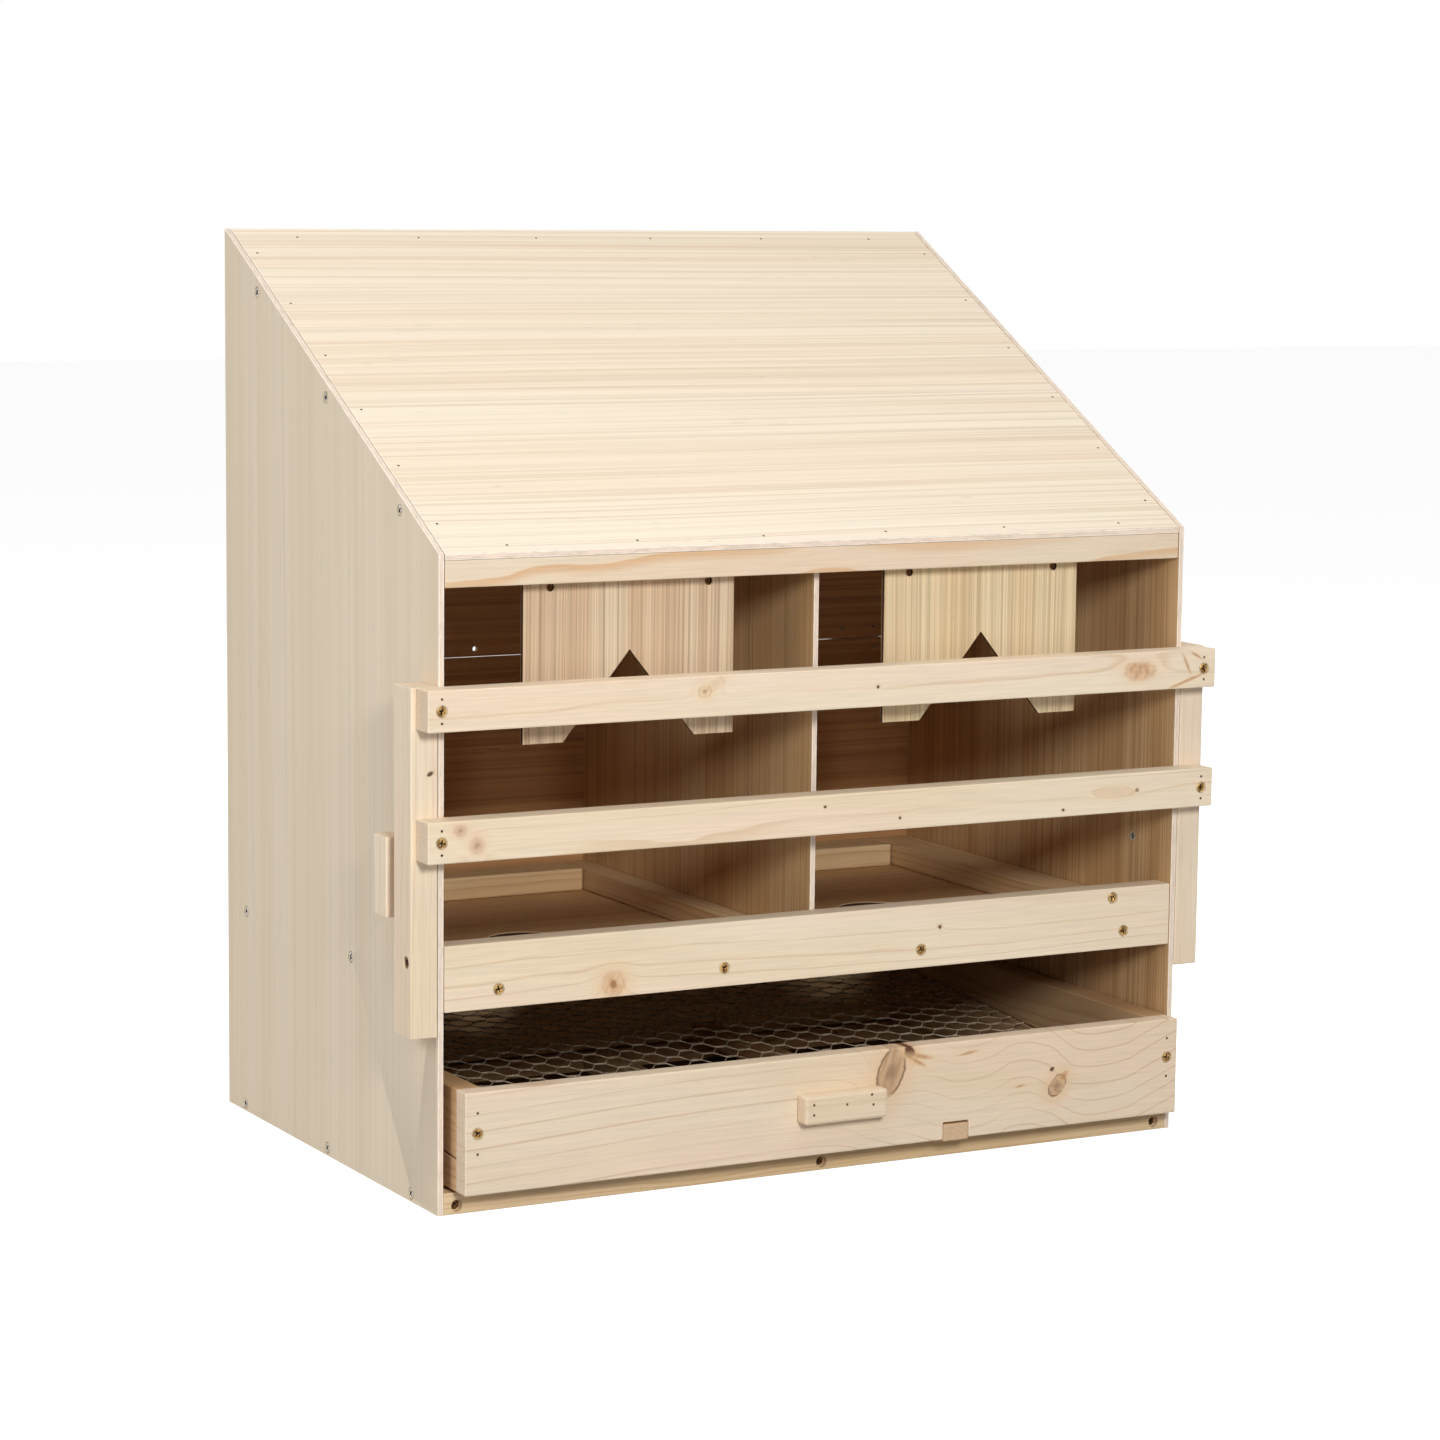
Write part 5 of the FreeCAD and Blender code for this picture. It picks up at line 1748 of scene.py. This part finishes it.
@dataclass
class RearDoor:
    """The rear door: its panel, the hinges' metal and the turn button.

    Attributes:
        ply_ease: easing of the panel's edges, metres.
        button_ease: easing of the button's edges, metres.
        swell: how far the panel's lower and upper edges stand past the solid, metres.
    """

    ply_ease: float = 0.25 * MM
    button_ease: float = 1.0 * MM
    swell: float = 0.2 * MM

    def build(self) -> None:
        """Make the door and dress the hinges."""
        grain = Grain(ACROSS, BACKWARD, shift=100.0)
        slack = (0.0, -self.swell, 0.0)
        # The door's inner face takes the darker wall veneer that paints the shade within the box.
        Panel("rear_door_panel", grain, self.ply_ease, REAR_VENEER, SHADED_WALL_VENEER, slack=slack).build()
        Board("turn_button", Grain(ACROSS, BACKWARD, (14, 30), 104.0), self.button_ease, PINE).build()
        for node in ("hinge_lower_leaves", "hinge_door_leaves", "hinge_pins"):
            part = frame["nodes"][node]
            part.data.materials.clear()
            part.data.materials.append(HINGE_STEEL.material())
            LOG.info("%s keeps its solid", node)


@dataclass
class EggDrawer:
    """The roll-away drawer: boards, handle, tie batten and wire netting.

    Attributes:
        ease: easing of the boards' edges, metres.
        handle_ease: easing of the handle's edges, metres.
        cell_side: side of a netting cell, metres.
        wire: radius of the wire, metres.
        wire_bevel: how finely the wire is rounded.
        turns: turns in each twist.
        twist_steps: points along a twist.
        twist_length: length of a twist, in cell sides.
        tuck: how far the netting runs on between the boards, metres.
        sag: how far the netting hangs down at its front, half-way between the sides, metres.
        sag_span: depths between which the sag grows from nothing to its full, metres.
        front_flow: a ring's line on the drawer front, across and up, mm.
        side_shifts: where the left and right boards lie along the log, metres.
        LANE: distance between wires, in cell sides.
        STRIDE: distance between a wire's twists, in cell sides.
    """

    ease: float = 1.0 * MM
    handle_ease: float = 2.2 * MM
    cell_side: float = 10.0 * MM
    wire: float = 0.48 * MM
    wire_bevel: int = 1
    turns: int = 2
    twist_steps: int = 9
    twist_length: float = 0.92
    tuck: float = 2.0 * MM
    sag: float = 13.0 * MM
    sag_span: tuple[float, float] = (60 * MM, -70 * MM)
    front_flow: tuple[tuple[float, float], ...] = (
        (-285, 62), (-215, 66), (-147, 70), (-62, 72), (-7, 72), (26, 63), (52, 53), (87, 40), (100, 36.5),
        (117, 37.5), (135, 43), (150, 47), (165, 45), (189, 32), (200, 26), (214, 24), (236, 25.5), (255, 32),
        (285, 44),
    )
    side_shifts: tuple[float, float] = (130.0, 140.0)

    LANE = math.sqrt(3) / 2
    STRIDE = 1.5

    def boards(self) -> list[Board]:
        """List the boards.

        Returns:
            The boards, in the order in which they are made.
        """
        front_grain = Grain(ACROSS, BACKWARD, (480, 0), 110.0)
        front_knots = (
            Knot((42.7, 70.5), (10.2, 17.5), KnotKind.RED, 20),
            Knot((57.6, 83.8), (3.6, 5.0), KnotKind.BARK, -30),
            Knot((67.0, 79.5), (9.0, 1.6), KnotKind.STREAK, 12),
            Knot((64.0, 76.0), (7.0, 1.4), KnotKind.STREAK, 30),
            Knot((105.9, 78.2), (7.5, 1.0), KnotKind.STREAK, -8),
            Knot((181.6, 47.4), (8.6, 6.0), KnotKind.RED, -50),
            Knot((187.0, 54.0), (4.0, 2.4), KnotKind.STREAK, -40),
            Knot((177.0, 59.8), (2.0, 1.3), KnotKind.PIN, -40),
            Knot((150.0, 50.0), (4.0, 0.8), KnotKind.STREAK, -6),
        )
        boards = [
            Board("drawer_front", front_grain, self.ease, DRAWER_PINE, front_knots, self.front_flow),
            Board("drawer_back", Grain(ACROSS, BACKWARD, (18, 44), 114.0), self.ease, BATTEN_PINE),
            Board("drawer_handle", Grain(ACROSS, BACKWARD, (22, 30), 118.0), self.handle_ease, DRAWER_PINE),
            Board("drawer_tie_batten", Grain(BACKWARD, UPWARD, (6, 9), 122.0), self.ease, SHADED_INNER_PINE),
        ]
        for side, shift in zip(SIDES, self.side_shifts):
            side_grain = Grain(BACKWARD, ACROSS, (20, 34), shift)
            strip_grain = Grain(BACKWARD, ACROSS, (26, 40), shift + 5)
            boards += [
                Board(f"drawer_{side}_side", side_grain, self.ease, SHADED_SLIDE_PINE),
                Board(f"drawer_{side}_strip", strip_grain, self.ease, SHADED_SLIDE_PINE),
            ]
        return boards

    def build(self) -> None:
        """Make the boards and the netting."""
        for board in self.boards():
            board.build()
        self.netting()

    def netting(self) -> bpy.types.Object:
        """Weave the netting: wires that run across the drawer and twist with either neighbour by turns.

        Returns:
            The netting.
        """
        low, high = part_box("wire_netting")
        half = abs(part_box("drawer_left_side")[1].x) + self.tuck
        lane = self.LANE * self.cell_side
        stride = self.STRIDE * self.cell_side
        lanes = int((high.y - low.y) / lane) - 1
        start = (low.y + high.y - lanes * lane) / 2
        fall = (high.z - low.z) / (high.y - low.y)
        lift = low.z + self.wire
        curve = bpy.data.curves.new("netting_wire", "CURVE")
        curve.dimensions = "3D"
        curve.bevel_depth = self.wire
        curve.bevel_resolution = self.wire_bevel
        curve.use_fill_caps = True
        strides = int(2 * half / stride)
        first = -strides * stride / 2
        for number in range(lanes):
            points = []
            for count in range(strides + 1):
                upper = (number + count) % 2 == 0
                axis = start + (number + (1 if upper else 0)) * lane
                points += self._twist(first + count * stride, axis, upper)
            line = curve.splines.new("POLY")
            line.points.add(len(points) - 1)
            for place, (x, y, height) in zip(line.points, points):
                x = max(-half, min(half, x))
                height -= self._hang(x / half, y)
                place.co = (x, y, lift + fall * (y - low.y) + height, 1.0)
        shape = bpy.data.objects.new("netting_wire", curve)
        bpy.context.scene.collection.objects.link(shape)
        bpy.context.view_layer.update()
        mesh = bpy.data.meshes.new_from_object(shape.evaluated_get(bpy.context.evaluated_depsgraph_get()))
        bpy.data.objects.remove(shape)
        mesh.materials.clear()
        mesh.materials.append(GALVANISED.material())
        mesh.shade_smooth()
        return standing_for("wire_netting", mesh, "woven")

    def _hang(self, across: float, depth: float) -> float:
        """Work out the netting's sag.

        Args:
            across: place across the drawer, -1 to 1.
            depth: place from front to back, metres.

        Returns:
            How far the netting hangs down there, metres.
        """
        start, end = self.sag_span
        share = max(0.0, min(1.0, (depth - start) / (end - start)))
        return self.sag * share * share * (3 - 2 * share) * (1 - across * across)

    def _twist(self, middle: float, axis: float, upper: bool) -> list[Triple]:
        """Lead one wire through a twist, from its own side round and back to it.

        Args:
            middle: the twist's middle across the drawer, metres.
            axis: the twist's place from front to back, metres.
            upper: whether the wire comes from the front.

        Returns:
            The wire's points: across, back, and up from the netting.
        """
        side = -1.0 if upper else 1.0
        points = []
        for step in range(self.twist_steps):
            share = step / (self.twist_steps - 1)
            angle = 2 * math.pi * self.turns * share
            along = middle + (share - 0.5) * self.cell_side * self.twist_length
            back, up = side * self.wire * math.cos(angle), side * self.wire * math.sin(angle)
            points.append((along, axis + back, up))
        return points


@dataclass
class Fasteners:
    """All screws and brads.

    Attributes:
        yellow: nodes of yellow-plated screws.
        white: nodes of white-plated screws.
        brads: nodes of brads.
        sunk: nodes of screws whose heads lie deep in the wood or behind it; their darker plating paints the
            shade in their holes.
        rim: radius of the raised fibres round a head that shows, in head radii.
    """

    yellow: tuple[str, ...]
    white: tuple[str, ...]
    brads: tuple[str, ...]
    sunk: tuple[str, ...] = ("bottom_rail_screws", "button_screw", "curtain_screws", "perch_pivot_screws")
    rim: float = 1.28

    @classmethod
    def recorded(cls) -> "Fasteners":
        """Sort the fasteners by the record's material slots.

        Returns:
            All the fasteners.
        """
        nodes = [row["node"] for row in frame["record"]["subparts"]]
        slots = ("yellow_zinc_screws", "zinc_screws", "brad_steel")
        return cls(*(tuple(node for node in nodes if slot_of(node) == slot) for slot in slots))

    def build(self) -> None:
        """Make every set."""
        for node in self.yellow:
            sunk = node in self.sunk
            ScrewSet(node, SUNK_SHADED_ZINC if sunk else YELLOW_ZINC, 1.0 if sunk else self.rim).build()
        for node in self.white:
            ScrewSet(node, BRIGHT_ZINC, self.rim).build()
        for node in self.brads:
            BradSet(node).build()


@dataclass(frozen=True)
class Lamp:
    """A large soft light that looks at the box.

    Attributes:
        name: its name.
        way: direction from the box towards it.
        far: distance from the box's middle, metres.
        side: side of its square face, metres.
        power: watts.
    """

    name: str
    way: Triple
    far: float
    side: float
    power: float

    def hang(self) -> None:
        """Put the light in the scene."""
        data = bpy.data.lights.new(self.name, "AREA")
        data.energy = self.power
        data.size = self.side
        lamp = bpy.data.objects.new(self.name, data)
        bpy.context.scene.collection.objects.link(lamp)
        low, high = CAD_BOX
        way = Vector(self.way).normalized()
        lamp.location = (low + high) / 2 + way * self.far
        lamp.rotation_euler = way.to_track_quat("Z", "Y").to_euler()


@dataclass
class Studio:
    """Floor, lights, world and camera.

    Attributes:
        eye: the camera's place, metres.
        forward: the camera's direction.
        roll: the camera's turn about its own axis, degrees.
        lens: focal length on a square sensor, mm.
        sensor: sensor's side, mm.
        floor_half: half the floor's side, metres.
        floor_cells: faces along the floor's side.
        floor_tone: share of light that the floor throws back.
        floor_glow: how much whiter the floor is shown than it is lit, clear of the box.
        shade_half: half-sizes of the ground that the box covers, which is shown as it is lit, metres.
        painted_shade_tone: colour of this ground, a dark brown that paints the shade beneath the box.
        shade_soft: width of that ground's edge, metres.
        lamps: the lights.
        sky: strength of the light from all round.
    """

    eye: Triple = (-1.3808, -2.5842, 0.68545)
    forward: Triple = (0.47177, 0.87182, -0.13174)
    roll: float = 0.62
    lens: float = 100.70
    sensor: float = 36.0
    floor_half: float = 12.0
    floor_cells: int = 8
    floor_tone: float = 0.45
    floor_glow: float = 0.92
    shade_half: tuple[float, float] = (0.294, 0.188)
    painted_shade_tone: Colour = (0.1, 0.056, 0.026)
    shade_soft: float = 0.006
    lamps: tuple[Lamp, ...] = (
        Lamp("key_light", (-0.27, -1.0, 0.36), 3.0, 0.5, 54.0),
        Lamp("top_light", (-0.1, -0.25, 1.0), 2.5, 2.0, 23.5),
        Lamp("left_light", (-1.0, -0.15, 0.3), 3.0, 2.0, 36.0),
        Lamp("right_light", (1.0, 0.2, 0.3), 3.0, 2.0, 26.0),
        Lamp("rear_light", (0.15, 1.0, 0.35), 3.0, 2.0, 36.0),
    )
    sky: float = 0.1

    def build(self) -> None:
        """Set up the scene round the box."""
        bpy.context.scene.view_settings.view_transform = "Standard"
        self._floor()
        self._world()
        for lamp in self.lamps:
            lamp.hang()
        self._camera()

    @staticmethod
    def _seen(graph: Graph) -> Socket:
        """Tell rays that show the background from rays that light the box.

        Args:
            graph: the background's graph.

        Returns:
            1 for rays that show it, and else 0.
        """
        path = graph.add("ShaderNodeLightPath").outputs
        shown = graph.math("ADD", path["Is Camera Ray"], path["Is Glossy Ray"])
        made = graph.add("ShaderNodeMath", operation="ADD", use_clamp=True)
        graph.feed(made.inputs[0], shown)
        graph.feed(made.inputs[1], path["Is Transmission Ray"])
        return made.outputs[0]

    def _floor(self) -> None:
        """Lay a white floor that keeps the box's shadow, with the ground beneath the box painted dark brown
        as shade.
        """
        form = bmesh.new()
        cells = self.floor_cells
        bmesh.ops.create_grid(form, x_segments=cells, y_segments=cells, size=self.floor_half)
        mesh = bpy.data.meshes.new("studio_floor")
        form.to_mesh(mesh)
        form.free()
        floor = bpy.data.objects.new("studio_floor", mesh)
        bpy.context.scene.collection.objects.link(floor)
        material = bpy.data.materials.new("studio_floor")
        material.use_nodes = True
        tree = material.node_tree
        tree.nodes.clear()
        graph = Graph(tree)
        place = graph.parts(graph.add("ShaderNodeTexCoord").outputs["Object"])
        covered: Feed = 1.0
        for share, half in zip(place, self.shade_half):
            inside = graph.step(graph.math("ABSOLUTE", share), half, half - self.shade_soft)
            covered = graph.math("MULTIPLY", inside, covered)
        matt = graph.add("ShaderNodeBsdfDiffuse")
        # Painted shade: the ground beneath the box is coloured dark brown.
        graph.feed(matt.inputs["Color"], graph.mix(covered, 3 * (self.floor_tone,), self.painted_shade_tone))
        shown = graph.math("MULTIPLY", self._seen(graph), graph.math("SUBTRACT", 1.0, covered))
        glow = graph.add("ShaderNodeEmission")
        graph.feed(glow.inputs["Strength"], graph.math("MULTIPLY", shown, self.floor_glow))
        both = graph.add("ShaderNodeAddShader")
        graph.feed(both.inputs[0], matt.outputs[0])
        graph.feed(both.inputs[1], glow.outputs[0])
        graph.feed(graph.add("ShaderNodeOutputMaterial").inputs["Surface"], both.outputs[0])
        mesh.materials.append(material)

    def _world(self) -> None:
        """Light the box softly from all round, on a white ground."""
        world = bpy.data.worlds.new("studio")
        bpy.context.scene.world = world
        world.use_nodes = True
        graph = Graph(world.node_tree)
        ground = world.node_tree.nodes["Background"]
        ground.inputs["Color"].default_value = (1.0, 1.0, 1.0, 1.0)
        shown = graph.math("MULTIPLY", self._seen(graph), 1.0 - self.sky)
        graph.feed(ground.inputs["Strength"], graph.math("ADD", shown, self.sky))

    def _camera(self) -> None:
        """Stand the camera where the photograph was taken from."""
        data = bpy.data.cameras.new("camera")
        data.lens = self.lens
        data.sensor_width = self.sensor
        camera = bpy.data.objects.new("camera", data)
        bpy.context.scene.collection.objects.link(camera)
        ahead = Vector(self.forward).normalized()
        right = ahead.cross(Vector(UPWARD)).normalized()
        right = Matrix.Rotation(-math.radians(self.roll), 3, ahead) @ right
        axes = Matrix((right, right.cross(ahead), -ahead)).transposed().to_4x4()
        camera.matrix_world = Matrix.Translation(Vector(self.eye)) @ axes
        bpy.context.scene.camera = camera


def write_sizes() -> None:
    """Bring the view layer up to date."""
    bpy.context.view_layer.update()


def main() -> None:
    """Build the box and its studio."""
    logging.basicConfig(level=logging.INFO, format="%(name)s: %(message)s")
    for assembly in (Carcass(), PerchFrame(), RearDoor(), EggDrawer(), Fasteners.recorded(), Studio()):
        assembly.build()
    write_sizes()


if __name__ == "__main__":
    main()
